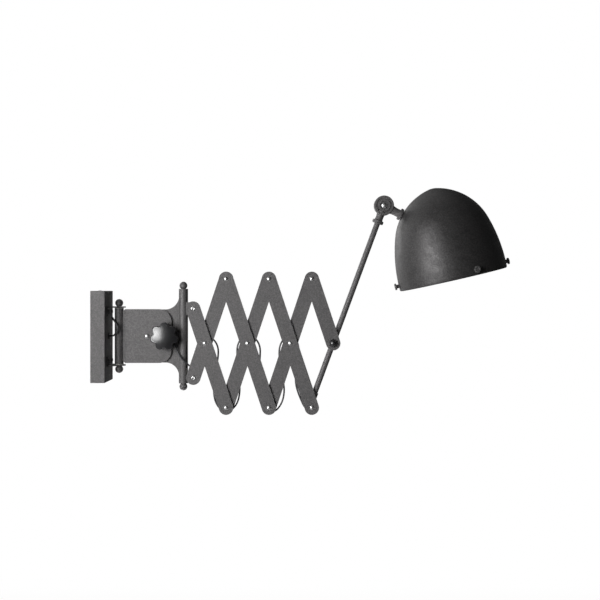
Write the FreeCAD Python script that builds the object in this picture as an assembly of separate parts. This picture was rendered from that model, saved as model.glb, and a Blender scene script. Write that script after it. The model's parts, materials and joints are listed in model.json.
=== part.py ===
"""Accordion wall lamp: a wall box with a vertical hinge, a clamped pair of tilting plates,
a lazy-tongs arm of flat links and a domed shade on a leaning rod.

Frame: X = 0 is the wall and +X points into the room. +Z is up. The origin is the centre of
the wall box's back. Y = 0 is the plane where the two clamped plates meet, and the links lie
in front of it, towards -Y. Lengths are millimetres and angles are degrees.
"""
import FreeCAD
import Part

import math
import os

V = FreeCAD.Vector
OUT = V(1, 0, 0)
BACK = V(0, 1, 0)
UP = V(0, 0, 1)

# ---- wall box -------------------------------------------------------------------------
BOX_DEPTH = 25.0
BOX_WIDTH = 76.0
BOX_HEIGHT = 158.0
BOX_WALL = 1.5
BOX_EDGE_R = 1.0
BACK_PLATE_T = 2.0
BACK_PLATE_GAP = 0.5            # between the back plate and the cover's inside
BACK_PLATE_TAB = 14.0           # how far the tabs for the cover screws stand forward
TAB_WIDTH = 24.0
WALL_HOLE_SPACING = 110.0
WALL_HOLE_R = 2.5
WALL_CABLE_R = 9.0
WALL_CABLE_Z = -22.0
COVER_SCREW_X = 9.0
COVER_SCREW_HEAD_R = 3.6
COVER_SCREW_HEAD_H = 0.9
TERMINAL_SIZE = (14.0, 30.0, 18.0)
TERMINAL_Z = 24.0               # underside of the terminal block
EARTH_SCREW_Y = 20.0

# ---- wall hinge -----------------------------------------------------------------------
HINGE_X = 43.0
HINGE_TUBE_R = 7.8
HINGE_TUBE_BORE_R = 5.6
HINGE_TUBE_HALF = 48.8
BUSH_FLANGE_T = 0.6
BUSH_LENGTH = 14.0
BRACKET_T = 2.0
EAR_R = 11.4
BRACKET_HALF_WIDTH = 22.0
BRACKET_FLANGE = 14.0           # height of the screwed flange of each bracket
BRACKET_SCREW_Y = 16.0
HINGE_PIN_R = 4.0
BALL_R = 6.9
HINGE_BALL_Z = 57.8

# ---- clamped plates -------------------------------------------------------------------
PLATE_T = 3.0
PLATE_GAP = 1.0
PLATE_HALF = 47.0
SWING_PLATE_END_X = 135.0
SWING_PLATE_CORNER_R = 22.0
SWING_PLATE_CHAMFER = 3.0
TILT_PLATE_START_X = 76.0
TILT_PLATE_HALF = 46.5
TILT_PLATE_CORNER_R = 10.0
FLARE_R = 24.0
PIVOT_X = 92.0
PIVOT_R = 3.0
PIVOT_HEAD_R = 4.7
PIVOT_HEAD_H = 2.8
FRICTION_WASHER_R = 12.0
SLOT_RADIUS = 32.5              # from the pivot rivet to the clamp bolt
TILT_LIMIT = 12.0
CLAMP_R = 4.0
CLAMP_WASHER_R = 12.0
CLAMP_WASHER_T = 1.5
BOLT_HEAD_R = 6.5
BOLT_HEAD_H = 5.0

# ---- knob -----------------------------------------------------------------------------
KNOB_R = 25.0
KNOB_LOBES = 7
LOBE_R = 7.0
KNOB_CORE_R = 20.0
KNOB_STEM_R = 11.0
KNOB_STEM_H = 8.0
KNOB_HEAD_H = 16.0
INSERT_R = 6.0
INSERT_LENGTH = 18.0

# ---- guide tube -----------------------------------------------------------------------
GUIDE_X = 155.4
GUIDE_R = 8.0
GUIDE_BORE_R = 6.5
GUIDE_HALF = 82.5
CAP_SPIGOT = 2.4
SLIDER_DOWN = 4.0               # slider below and above its pin
SLIDER_UP = 16.0
LUG_T = 3.0
LUG_R = 11.0
LOWER_LUG_R = 9.0
TONGUE_HALF = 4.0

# ---- lazy tongs -----------------------------------------------------------------------
LINK_T = 3.0
LINK_R = 12.5
LAYER_GAP = 0.8
REAR_LAYER_BACK_Y = -6.8
SHORT_ARM = 63.5                # wall-side arm of the first pair, pin to crossing
LONG_ARM = 118.0                # every other arm, crossing to joint
LEAN = 18.4                     # each link from the vertical, as photographed
LEAN_MIN = 13.4
LEAN_MAX = 60.4
CELLS = 3
CROSSING_Z = -12.0
PIN_FROM_TUBE = 10.2             # the fixed and sliding pins, in front of the guide tube
FIRST_PIN_X = GUIDE_X + GUIDE_R + PIN_FROM_TUBE
RIVET_R = 2.5
RIVET_HEAD_R = 3.9
RIVET_HEAD_H = 1.8
RIVET_TAIL_R = 3.8
RIVET_TAIL_H = 1.3
RIVET_HOLLOW_R = 1.3
LINK_WASHER_R = 6.5

# ---- rod and swivel -------------------------------------------------------------------
ROD_Y = -3.6
ROD_R = 5.0
ROD_BORE_R = 3.7
ROD_LEAN = 20.3                 # the rod's own axis from the vertical
ROD_TO_SWIVEL = 255.7           # crossing 4 to the swivel's centre
ROD_END_FROM = 108.0            # the rod end's mouth, below crossing 4
ROD_END_SOCKET = 16.0
ROD_END_R = 6.5
ROD_END_EYE_R = 10.0
COLLAR_R = 6.5
COLLAR_HALF = 8.0
STUD_R = 3.0
NUT_R = 7.1
NUT_H = 7.0
SWIVEL_R = 17.2
SWIVEL_HALF_T = 8.0
SWIVEL_NECK_CLEAR = 0.5
SWIVEL_RECESS = 1.8             # how deep the screw's head sits in the front disc
SWIVEL_COLLAR_FROM = 27.5
SWIVEL_COLLAR_TO = 33.0
SWIVEL_COLLAR_R = 9.8
SWIVEL_SOCKET = 12.0
SWIVEL_SCREW_R = 3.0
SWIVEL_SCREW_HEAD_R = 5.2
CABLE_BORE_R = 1.6

# ---- shade ----------------------------------------------------------------------------
ARM_BELOW = 27.9                # the shade's arm, below the horizontal
ARM_REACH = 35.7                # swivel's centre to the dome's outer surface
SHADE_TILT = 13.0               # the shade's axis from the vertical
SHADE_HEIGHT = 161.0
SHADE_RIM_R = 94.8
SHADE_WALL = 1.2
APEX_R = 34.0
SHOULDER_R = 101.3
SIDE_R = 273.7
SIDE_CENTRE_H = 9.2
NIPPLE_ANGLE = 49.1             # where the arm meets the dome, from the dome's axis
NIPPLE_R = 5.0
NIPPLE_INSIDE = 12.0
FLANGE_R = 10.5
FLANGE_T = 5.0
RIM_RING_T = 1.5
RIM_RING_DROP = 1.6
RIM_RING_HEIGHT = 15.0
RIM_SCREW_TURNS = (-90.0, 16.0, 90.0, 196.0)   # azimuths from the front
RIM_SCREW_H = 8.0               # screw height above the rim
RIM_SCREW_NECK_R = 3.3
RIM_SCREW_HEAD_R = 5.7
RIM_SCREW_HEAD_T = 3.4
RIM_SCREW_STANDOFF = 4.2
HOLDER_R = 19.0
HOLDER_CAP_R = 15.0
HOLDER_LENGTH = 52.0
BULB_R = 29.0
BULB_LENGTH = 104.0
BULB_BASE_R = 13.0
BULB_WALL = 1.2

# ---- cable ----------------------------------------------------------------------------
CABLE_R = 1.5
CABLE_Y = -3.6
HOLE_FROM_TUBE = 3.8            # the cable's hole in the tilting plate, behind the guide tube
CABLE_HOLE = (GUIDE_X - GUIDE_R - HOLE_FROM_TUBE, -8.0)
CLIP_FROM_X = 56.0
CLIP_TO_X = 64.0
CLIP_Z = 7.0
CLIP_Y = 9.0

# ---- fits -----------------------------------------------------------------------------
RUNNING = 0.05                  # radial clearance of a pin that turns
SLIDING = 0.09                  # radial clearance of the slider
FREE = 0.1                      # between flat faces that pass each other
SEAT = 0.02                     # round a piece that sits in a pocket

# ---- what follows from the sizes above ------------------------------------------------
BOX_HALF_W = BOX_WIDTH / 2
BOX_HALF_H = BOX_HEIGHT / 2
EAR_INNER_Z = HINGE_TUBE_HALF + BUSH_FLANGE_T + 3 * FREE
EAR_OUTER_Z = EAR_INNER_Z + BRACKET_T
BRACKET_SCREW_Z = EAR_OUTER_Z - BRACKET_T - BRACKET_FLANGE / 2
SWING_FRONT_Y = -PLATE_GAP / 2 - PLATE_T
SWING_BACK_Y = -PLATE_GAP / 2
TILT_FRONT_Y = PLATE_GAP / 2
TILT_BACK_Y = PLATE_GAP / 2 + PLATE_T
CLAMP_X = PIVOT_X + SLOT_RADIUS
REAR_FRONT_Y = REAR_LAYER_BACK_Y - LINK_T
FRONT_BACK_Y = REAR_FRONT_Y - LAYER_GAP
FRONT_FRONT_Y = FRONT_BACK_Y - LINK_T
LUG_FRONT_Y = REAR_LAYER_BACK_Y + LAYER_GAP
LUG_BACK_Y = LUG_FRONT_Y + LUG_T
LEAN_SIN = math.sin(math.radians(LEAN))
LEAN_COS = math.cos(math.radians(LEAN))
PITCH = 2 * LONG_ARM * LEAN_SIN


def at(x, z, y=0.0):
    """A point from its place in the picture plane and its depth."""
    return V(x, y, z)


def direction(degrees):
    """Unit vector in the picture plane, anticlockwise from +X as seen from the front."""
    return at(math.cos(math.radians(degrees)), math.sin(math.radians(degrees)))


UPPER_PIN = at(FIRST_PIN_X, CROSSING_Z + SHORT_ARM * LEAN_COS)
LOWER_PIN = at(FIRST_PIN_X, CROSSING_Z - SHORT_ARM * LEAN_COS)
CROSSINGS = [at(FIRST_PIN_X + SHORT_ARM * LEAN_SIN + i * PITCH, CROSSING_Z) for i in range(CELLS + 1)]
TOP_JOINTS = [c + at(LONG_ARM * LEAN_SIN, LONG_ARM * LEAN_COS) for c in CROSSINGS[:-1]]
BOTTOM_JOINTS = [c + at(LONG_ARM * LEAN_SIN, -LONG_ARM * LEAN_COS) for c in CROSSINGS[:-1]]
ROD_UP = direction(90 - ROD_LEAN)
ROD_ORIGIN = at(CROSSINGS[-1].x, CROSSINGS[-1].z, ROD_Y)
SWIVEL = ROD_ORIGIN + ROD_UP * ROD_TO_SWIVEL
ARM = direction(-ARM_BELOW)
SHADE_UP = direction(90 + SHADE_TILT)
SHADE_SIDE = direction(SHADE_TILT)


# ---- building blocks ------------------------------------------------------------------
def block(x0, x1, y0, y1, z0, z1):
    return Part.makeBox(x1 - x0, y1 - y0, z1 - z0, V(x0, y0, z0))


def bar(start, end, radius):
    """A round bar between two points."""
    return Part.makeCylinder(radius, (end - start).Length, start, end - start)


def disc(centre, radius, y0, y1):
    """A round bar across the links' plane."""
    return Part.makeCylinder(radius, y1 - y0, V(centre.x, y0, centre.z), BACK)


def post(x, y, radius, z0, z1):
    """An upright round bar."""
    return Part.makeCylinder(radius, z1 - z0, V(x, y, z0), UP)


def closed_wire(place, items):
    """A closed wire of corners (a, b) and arcs (middle a, middle b, end a, end b)."""
    first = place(*items[0])
    last = first
    edges = []
    for item in items[1:]:
        end = place(*item[-2:])
        if len(item) == 4:
            edges.append(Part.Arc(last, place(*item[:2]), end).toShape())
        else:
            edges.append(Part.makeLine(last, end))
        last = end
    if (last - first).Length > 1e-6:
        edges.append(Part.makeLine(last, first))
    return Part.Wire(edges)


def plate(items, y0, y1):
    """A plate in the links' plane: the outline is (x, z)."""
    wire = closed_wire(lambda x, z: V(x, y0, z), items)
    return Part.Face(wire).extrude(V(0, y1 - y0, 0))


def turned(items, origin, axis):
    """A turned piece: the outline is (distance along the axis, radius)."""
    along = V(axis).normalize()
    side = along.cross(BACK)
    if side.Length < 0.1:
        side = along.cross(UP)
    side.normalize()
    wire = closed_wire(lambda a, r: origin + along * a + side * r, items)
    return Part.Face(wire).revolve(origin, along, 360)


def cap_middle(tip, base, radius):
    """Middle point of the round arc from (tip, 0) to (base, radius)."""
    rise = abs(base - tip)
    sign = 1 if base > tip else -1
    arc_r = (radius * radius + rise * rise) / (2 * rise)
    half = math.asin(min(1.0, radius / arc_r)) / 2
    return tip + sign * arc_r * (1 - math.cos(half)), arc_r * math.sin(half)


def stadium(start, end, radius, y0, y1):
    """A flat bar with round ends about two pins."""
    u = (end - start).normalize() * radius
    n = V(-u.z, 0, u.x)
    corners = [start + n, end + n, end + u, end - n, start - n, start - u]
    a, b, mid_b, c, d, mid_d = [(p.x, p.z) for p in corners]
    return plate([a, b, mid_b + c, d, mid_d + a], y0, y1)


def corner(cx, cz, radius, from_deg, to_deg):
    """An outline's round corner: the arc's middle and end."""
    mid = direction((from_deg + to_deg) / 2) * radius
    end = direction(to_deg) * radius
    return cx + mid.x, cz + mid.z, cx + end.x, cz + end.z


def pan_screw(seat, into, head_r, head_h, shank_r, length):
    """A pan-head screw: seat is under the head, and into points along the shank."""
    items = [(-head_h, 0), (-head_h, head_r * 0.6)]
    items += [(-head_h * 0.8, head_r * 0.93, -head_h * 0.35, head_r), (0, head_r)]
    items += [(0, shank_r), (length - shank_r * 0.4, shank_r), (length, shank_r * 0.6), (length, 0)]
    return turned(items, seat, into)


def rivet(pin, front_y, back_y, hollow=False):
    """A dome-head rivet through the stack from front_y to back_y, or a tubular one."""
    tip = front_y - RIVET_HEAD_H
    items = [(tip, 0), cap_middle(tip, front_y, RIVET_HEAD_R) + (front_y, RIVET_HEAD_R)]
    items += [(front_y, RIVET_R), (back_y, RIVET_R), (back_y, RIVET_TAIL_R)]
    items += [(back_y + RIVET_TAIL_H, RIVET_TAIL_R * 0.8), (back_y + RIVET_TAIL_H, 0)]
    body = turned(items, V(pin.x, 0, pin.z), BACK)
    if hollow:
        body = body.cut(disc(pin, RIVET_HOLLOW_R, tip - 1, back_y + RIVET_TAIL_H + 1))
    return body


def pinned(body, pins, y0, y1, radius=RIVET_R + RUNNING):
    """Drill running holes for pins through a body."""
    for pin in pins:
        body = body.cut(disc(pin, radius, y0 - 1, y1 + 1))
    return body


def group(solids):
    return Part.makeCompound(solids)


# ---- cable ----------------------------------------------------------------------------
def cable(name, points):
    """A cable along straight runs joined by tangent arcs, from points chosen by hand."""
    points = [V(*p) for p in points]
    edges = []
    start = points[0]
    radii = []
    for before, here, after in zip(points, points[1:], points[2:]):
        arrive = here - before
        leave = after - here
        half = arrive.getAngle(leave) / 2
        trim = 0.45 * min(arrive.Length, leave.Length)
        radius = trim / math.tan(half)
        radii.append(radius)
        arrive.normalize()
        leave.normalize()
        first = here - arrive * trim
        second = here + leave * trim
        inward = (leave - arrive).normalize()
        middle = here + inward * (radius / math.cos(half) - radius)
        edges.append(Part.makeLine(start, first))
        edges.append(Part.Arc(first, middle, second).toShape())
        start = second
    edges.append(Part.makeLine(start, points[-1]))
    length = sum(e.Length for e in edges)
    path = Part.Wire(edges)
    section = Part.Wire(Part.makeCircle(CABLE_R, points[0], points[1] - points[0]))
    solid = path.makePipeShell([section], True, False)
    fill = solid.Volume / (math.pi * CABLE_R ** 2 * length)
    radii_text = " ".join(f"{r:.1f}" for r in radii)
    print(f"{name}: length {length:.1f}, volume share {fill:.4f}, arc radii {radii_text}")
    return solid


TERMINAL_EXIT_X = 9.0
HINGE_LOOP = [
    (TERMINAL_EXIT_X, 0, TERMINAL_Z),
    (TERMINAL_EXIT_X, 0, 0),
    (32.5, 0, 0),
    (37, -11, 3),
    (45, -14, 11),
    (40, -13.5, 23),
    (32, -8, 32),
    (30.5, 2, 33),
    (33, 11, 26),
    (40, 14, 16),
    (50, CLIP_Y, CLIP_Z),
    (CLIP_TO_X, CLIP_Y, CLIP_Z),
]
ARM_RUN = [
    (CLIP_TO_X, CLIP_Y, CLIP_Z),
    (80, CLIP_Y, CLIP_Z),
    (98, 9.5, -6),
    (115, 11, -18),
    (132, 12.5, -18.5),
    (CABLE_HOLE[0], 12, CABLE_HOLE[1]),
    (CABLE_HOLE[0], (TILT_FRONT_Y + TILT_BACK_Y) / 2, CABLE_HOLE[1]),
]
SCISSOR_RUN_FRONT = [
    (CABLE_HOLE[0], (TILT_FRONT_Y + TILT_BACK_Y) / 2, CABLE_HOLE[1]),
    (CABLE_HOLE[0], -6, CABLE_HOLE[1]),
    (142.8, -8.5, -21),
    (150, -11, -35),
    (161, -11, -46),
    (167, CABLE_Y, -52.5),
]
SCISSOR_RUN_WAVE = [
    (176, -55.5), (183.5, -43), (181.8, -26), (184.5, -8), (193.5, 1.5), (207.5, -4),
    (216.8, -18), (216.5, -38), (212, -60), (209, -82), (208.5, -104), (214.5, -122),
    (226, -131), (239, -130), (250, -118), (254.5, -99), (254, -77), (252, -56),
    (249.5, -36), (249.3, -18), (256, -3), (268, 2.5), (281.5, -3), (290, -17.5),
    (289.8, -37), (287.5, -58), (286, -80), (287, -101), (292, -120), (303, -132.5),
    (317, -131.5), (328, -117), (332.3, -98), (330.5, -79), (326, -59), (323, -38),
    (323, -19), (330.5, -4), (342.5, 1.5), (353, -5.5), (358, -21), (356, -42),
    (351.5, -62), (351.5, -83), (356, -99), (362, -113.5), (367.2, -124.5), (374.6, -126),
]
ROD_MOUTH = ROD_ORIGIN - ROD_UP * ROD_END_FROM
CABLE_END = ROD_MOUTH + ROD_UP * 5
CABLE_TURN = ROD_MOUTH - ROD_UP * 5.5


def scissor_run():
    wave = [(x, CABLE_Y, z) for x, z in SCISSOR_RUN_WAVE]
    return cable("cable_scissor_run", SCISSOR_RUN_FRONT + wave + [tuple(CABLE_TURN), tuple(CABLE_END)])


# ---- wall box -------------------------------------------------------------------------
def wall_plate():
    half_w = BOX_HALF_W - BOX_WALL - BACK_PLATE_GAP
    half_h = BOX_HALF_H - BOX_WALL - BACK_PLATE_GAP
    body = block(0, BACK_PLATE_T, -half_w, half_w, -half_h, half_h)
    for z0, z1 in ((half_h - BACK_PLATE_T, half_h), (-half_h, BACK_PLATE_T - half_h)):
        tab = block(BACK_PLATE_T, BACK_PLATE_TAB, -TAB_WIDTH / 2, TAB_WIDTH / 2, z0, z1)
        body = body.fuse(tab)
    body = body.cut(post(COVER_SCREW_X, 0, 2 + SEAT, -BOX_HALF_H, BOX_HALF_H))
    for z in (-WALL_HOLE_SPACING / 2, WALL_HOLE_SPACING / 2):
        body = body.cut(bar(V(-1, 0, z), V(BACK_PLATE_T + 1, 0, z), WALL_HOLE_R))
    body = body.cut(bar(V(-1, 0, WALL_CABLE_Z), V(BACK_PLATE_T + 1, 0, WALL_CABLE_Z), WALL_CABLE_R))
    earth = earth_screw_seat()
    body = body.cut(bar(earth - OUT * 4, earth + OUT, 2 + SEAT))
    return body.removeSplitter()


def bracket_screw_places():
    return [(y, z) for y in (-BRACKET_SCREW_Y, BRACKET_SCREW_Y) for z in (-BRACKET_SCREW_Z, BRACKET_SCREW_Z)]


def box_cover():
    body = block(0, BOX_DEPTH, -BOX_HALF_W, BOX_HALF_W, -BOX_HALF_H, BOX_HALF_H)
    outer = [e for e in body.Edges if max(v.X for v in e.Vertexes) > BOX_DEPTH - 0.1]
    body = body.makeFillet(BOX_EDGE_R, outer)
    inner_w = BOX_HALF_W - BOX_WALL
    inner_h = BOX_HALF_H - BOX_WALL
    body = body.cut(block(-1, BOX_DEPTH - BOX_WALL, -inner_w, inner_w, -inner_h, inner_h))
    body = body.cut(post(COVER_SCREW_X, 0, 2.2, -BOX_HALF_H - 1, BOX_HALF_H + 1))
    body = body.cut(bar(V(BOX_DEPTH - 5, 0, 0), V(BOX_DEPTH + 1, 0, 0), 4.2 + SEAT))
    for y, z in bracket_screw_places():
        body = body.cut(bar(V(BOX_DEPTH - 5, y, z), V(BOX_DEPTH + 1, y, z), 2 + RUNNING))
    return body


def cover_screws():
    top = pan_screw(V(COVER_SCREW_X, 0, BOX_HALF_H), -UP, COVER_SCREW_HEAD_R, COVER_SCREW_HEAD_H, 2.0, 8)
    bottom = pan_screw(V(COVER_SCREW_X, 0, -BOX_HALF_H), UP, COVER_SCREW_HEAD_R, COVER_SCREW_HEAD_H, 2.0, 8)
    return group([top, bottom])


def terminal_block():
    depth, width, height = TERMINAL_SIZE
    x0 = BACK_PLATE_T
    body = block(x0, x0 + depth, -width / 2, width / 2, TERMINAL_Z, TERMINAL_Z + height)
    for y in (-width / 3, 0, width / 3):
        body = body.cut(bar(V(x0 + depth - 6, y, TERMINAL_Z + 5), V(x0 + depth + 1, y, TERMINAL_Z + 5), 2.2))
        body = body.cut(bar(V(x0 + depth - 6, y, TERMINAL_Z + 13), V(x0 + depth + 1, y, TERMINAL_Z + 13), 2.2))
    for y in (-width / 6, width / 6):
        body = body.cut(block(x0 + 8, x0 + depth + 1, y - 0.6, y + 0.6, TERMINAL_Z - 1, TERMINAL_Z + height + 1))
    return body


def earth_screw_seat():
    return V(BACK_PLATE_T, EARTH_SCREW_Y, WALL_CABLE_Z)


def earth_screw():
    return pan_screw(earth_screw_seat(), -OUT, 3.8, 2.4, 2.0, BACK_PLATE_T - 0.2)


def grommet(origin, axis, wall, hole_r, flange_r, flange_t):
    """A rubber grommet: origin is the wall's middle on the hole's axis."""
    reach = wall / 2 + flange_t
    items = [(-reach, CABLE_R + RUNNING), (-reach, flange_r - 0.5), (-reach + 0.4, flange_r)]
    items += [(-wall / 2, flange_r), (-wall / 2, hole_r), (wall / 2, hole_r), (wall / 2, flange_r)]
    items += [(reach - 0.4, flange_r), (reach, flange_r - 0.5), (reach, CABLE_R + RUNNING)]
    return turned(items, origin, axis)


def cover_grommet():
    return grommet(V(BOX_DEPTH - BOX_WALL / 2, 0, 0), OUT, BOX_WALL, 4.2, 5.8, 1.2)


# ---- wall hinge -----------------------------------------------------------------------
def hinge_bracket(sign):
    """An L bracket: a flange screwed to the box and an ear that carries the hinge pin."""
    x0 = BOX_DEPTH
    x1 = BOX_DEPTH + BRACKET_T
    flange = block(x0, x1, -BRACKET_HALF_WIDTH, BRACKET_HALF_WIDTH, EAR_OUTER_Z - BRACKET_FLANGE - BRACKET_T, EAR_OUTER_Z)
    lean = math.degrees(math.asin(EAR_R / BRACKET_HALF_WIDTH)) / 2
    touch = direction(90 - lean) * EAR_R
    items = [(x0, -BRACKET_HALF_WIDTH), (x1, -BRACKET_HALF_WIDTH), (HINGE_X + touch.x, -touch.z)]
    items += [(HINGE_X + EAR_R, 0, HINGE_X + touch.x, touch.z), (x1, BRACKET_HALF_WIDTH)]
    items += [(x0, BRACKET_HALF_WIDTH)]
    wire = closed_wire(lambda x, y: V(x, y, EAR_INNER_Z), items)
    ear = Part.Face(wire).extrude(UP * BRACKET_T)
    body = flange.fuse(ear)
    body = body.cut(post(HINGE_X, 0, HINGE_PIN_R + SEAT, 0, EAR_OUTER_Z + 1))
    for y in (-BRACKET_SCREW_Y, BRACKET_SCREW_Y):
        body = body.cut(bar(V(x0 - 1, y, BRACKET_SCREW_Z), V(x1 + 1, y, BRACKET_SCREW_Z), 2 + RUNNING))
    body = body.removeSplitter()
    return body if sign > 0 else body.mirror(V(0, 0, 0), UP)


def hinge_brackets():
    return group([hinge_bracket(1), hinge_bracket(-1)])


def bracket_screws():
    x = BOX_DEPTH + BRACKET_T
    return group([pan_screw(V(x, y, z), -OUT, 3.8, 2.4, 2.0, 9) for y, z in bracket_screw_places()])


def hinge_pin():
    reach = HINGE_BALL_Z - 1
    return post(HINGE_X, 0, HINGE_PIN_R, -reach, reach)


def hinge_ball(sign):
    body = Part.makeSphere(BALL_R, V(HINGE_X, 0, HINGE_BALL_Z))
    body = body.cut(block(HINGE_X - 20, HINGE_X + 20, -20, 20, 0, EAR_OUTER_Z))
    body = body.cut(post(HINGE_X, 0, HINGE_PIN_R + SEAT, 0, HINGE_BALL_Z - 1 + SEAT))
    return body if sign > 0 else body.mirror(V(0, 0, 0), UP)


def hinge_balls():
    return group([hinge_ball(1), hinge_ball(-1)])


# ---- swinging arm ---------------------------------------------------------------------
def swing_tube():
    outer = post(HINGE_X, 0, HINGE_TUBE_R, -HINGE_TUBE_HALF, HINGE_TUBE_HALF)
    return outer.cut(post(HINGE_X, 0, HINGE_TUBE_BORE_R, -HINGE_TUBE_HALF - 1, HINGE_TUBE_HALF + 1))


def hinge_bushes():
    bore = HINGE_PIN_R + RUNNING
    top = HINGE_TUBE_HALF + BUSH_FLANGE_T
    items = [(top - BUSH_LENGTH, bore), (top, bore), (top, HINGE_TUBE_R - 0.3)]
    items += [(HINGE_TUBE_HALF, HINGE_TUBE_R - 0.3), (HINGE_TUBE_HALF, HINGE_TUBE_BORE_R - SEAT)]
    items += [(top - BUSH_LENGTH, HINGE_TUBE_BORE_R - SEAT)]
    origin = V(HINGE_X, 0, 0)
    return group([turned(items, origin, UP), turned(items, origin, -UP)])


def swing_plate():
    h = PLATE_HALF
    c = SWING_PLATE_CHAMFER
    r = SWING_PLATE_CORNER_R
    x0 = HINGE_X
    x1 = SWING_PLATE_END_X
    items = [(x0, -h), (x1 - r, -h), corner(x1 - r, -h + r, r, -90, 0), (x1, h - r)]
    items += [corner(x1 - r, h - r, r, 0, 90), (x0, h)]
    body = plate(items, SWING_FRONT_Y, SWING_BACK_Y)
    for sign in (-1, 1):
        nick = [(x0, sign * h), (x0 + HINGE_TUBE_R + c, sign * h), (x0 + HINGE_TUBE_R, sign * (h - c))]
        nick += [(x0, sign * (h - c))]
        body = body.cut(plate(nick, SWING_FRONT_Y - 1, SWING_BACK_Y + 1))
    body = body.cut(post(HINGE_X, 0, HINGE_TUBE_R + SEAT, -h - 1, h + 1))
    body = body.cut(disc(at(PIVOT_X, 0), PIVOT_R + SEAT, -10, 10))
    body = body.cut(disc(at(CLAMP_X, 0), CLAMP_R + RUNNING, -10, 10))
    return body


def cable_clip():
    body = block(CLIP_FROM_X, CLIP_TO_X, SWING_BACK_Y, CLIP_Y + 3.2, CLIP_Z - 4, CLIP_Z + 4)
    return body.cut(bar(V(CLIP_FROM_X - 1, CLIP_Y, CLIP_Z), V(CLIP_TO_X + 1, CLIP_Y, CLIP_Z), CABLE_R + RUNNING))


def clamp_bolt_tip_y():
    return SWING_FRONT_Y - CLAMP_WASHER_T - KNOB_STEM_H - KNOB_HEAD_H + 5


def clamp_bolt():
    seat = TILT_BACK_Y + FREE + CLAMP_WASHER_T
    shank = disc(at(CLAMP_X, 0), CLAMP_R, clamp_bolt_tip_y(), seat)
    corners = [direction(60 * i) * BOLT_HEAD_R for i in range(6)]
    head = plate([(CLAMP_X + p.x, p.z) for p in corners], seat, seat + BOLT_HEAD_H)
    return shank.fuse(head)


def ring_washer(centre, outer_r, inner_r, y0, y1):
    return disc(centre, outer_r, y0, y1).cut(disc(centre, inner_r, y0 - 1, y1 + 1))


def clamp_washers():
    centre = at(CLAMP_X, 0)
    back_y = TILT_BACK_Y + FREE
    rear = ring_washer(centre, CLAMP_WASHER_R, CLAMP_R + RUNNING, back_y, back_y + CLAMP_WASHER_T)
    front = ring_washer(centre, CLAMP_WASHER_R, CLAMP_R + RUNNING, SWING_FRONT_Y - CLAMP_WASHER_T, SWING_FRONT_Y)
    return group([rear, front])


def pivot_rivet():
    tip = SWING_FRONT_Y - PIVOT_HEAD_H
    back = TILT_BACK_Y + FREE
    items = [(tip, 0), cap_middle(tip, SWING_FRONT_Y, PIVOT_HEAD_R) + (SWING_FRONT_Y, PIVOT_HEAD_R)]
    items += [(SWING_FRONT_Y, PIVOT_R), (back, PIVOT_R), (back, PIVOT_HEAD_R), (back + 1.6, PIVOT_HEAD_R)]
    items += [(back + 1.6, 0)]
    return turned(items, at(PIVOT_X, 0), BACK)


def friction_washer():
    inner = PIVOT_R + RUNNING
    return ring_washer(at(PIVOT_X, 0), FRICTION_WASHER_R, inner, SWING_BACK_Y, TILT_FRONT_Y - FREE)


# ---- knob -----------------------------------------------------------------------------
def knob_back_y():
    return SWING_FRONT_Y - CLAMP_WASHER_T - FREE


def clamp_knob():
    """A seven-lobed star grip with a crowned front."""
    back = knob_back_y()
    head_back = back - KNOB_STEM_H
    front = head_back - KNOB_HEAD_H
    centre = at(CLAMP_X, 0)
    star = disc(centre, KNOB_CORE_R, front, head_back)
    lobe_centre = KNOB_R - LOBE_R
    for i in range(KNOB_LOBES):
        place = centre + direction(360 * i / KNOB_LOBES + 90) * lobe_centre
        star = star.fuse(disc(place, LOBE_R, front, head_back))
    edge = front + 5.0
    crown = [(front, 0), cap_middle(front, edge, KNOB_R + 0.5) + (edge, KNOB_R + 0.5)]
    crown += [(head_back - 2, KNOB_R + 0.5), (head_back, KNOB_R - 3), (head_back, 0)]
    star = star.common(turned(crown, centre, BACK))
    stem = disc(centre, KNOB_STEM_R, head_back - 1, back)
    body = star.fuse(stem)
    body = body.cut(disc(centre, INSERT_R + SEAT, back - INSERT_LENGTH - SEAT, back + 1))
    return body.cut(disc(centre, CLAMP_R + 4 * RUNNING, clamp_bolt_tip_y() - 0.5, back))


def knob_insert():
    back = knob_back_y()
    return ring_washer(at(CLAMP_X, 0), INSERT_R, CLAMP_R + RUNNING, back - INSERT_LENGTH, back)


# ---- tilting arm ----------------------------------------------------------------------
def tilt_slot():
    """The arc slot for the clamp bolt, about the pivot rivet."""
    half_w = CLAMP_R + 2 * FREE
    limit = TILT_LIMIT + 1
    outer = SLOT_RADIUS + half_w
    inner = SLOT_RADIUS - half_w

    def polar(radius, degrees):
        p = direction(degrees) * radius
        return PIVOT_X + p.x, p.z

    def cap(degrees, sign):
        p = direction(degrees) * SLOT_RADIUS + direction(degrees + 90) * sign * half_w
        return PIVOT_X + p.x, p.z

    items = [polar(outer, -limit), polar(outer, 0) + polar(outer, limit)]
    items += [cap(limit, 1) + polar(inner, limit), polar(inner, 0) + polar(inner, -limit)]
    items += [cap(-limit, -1) + polar(outer, -limit)]
    return plate(items, TILT_FRONT_Y - 1, TILT_BACK_Y + 1)


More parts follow.
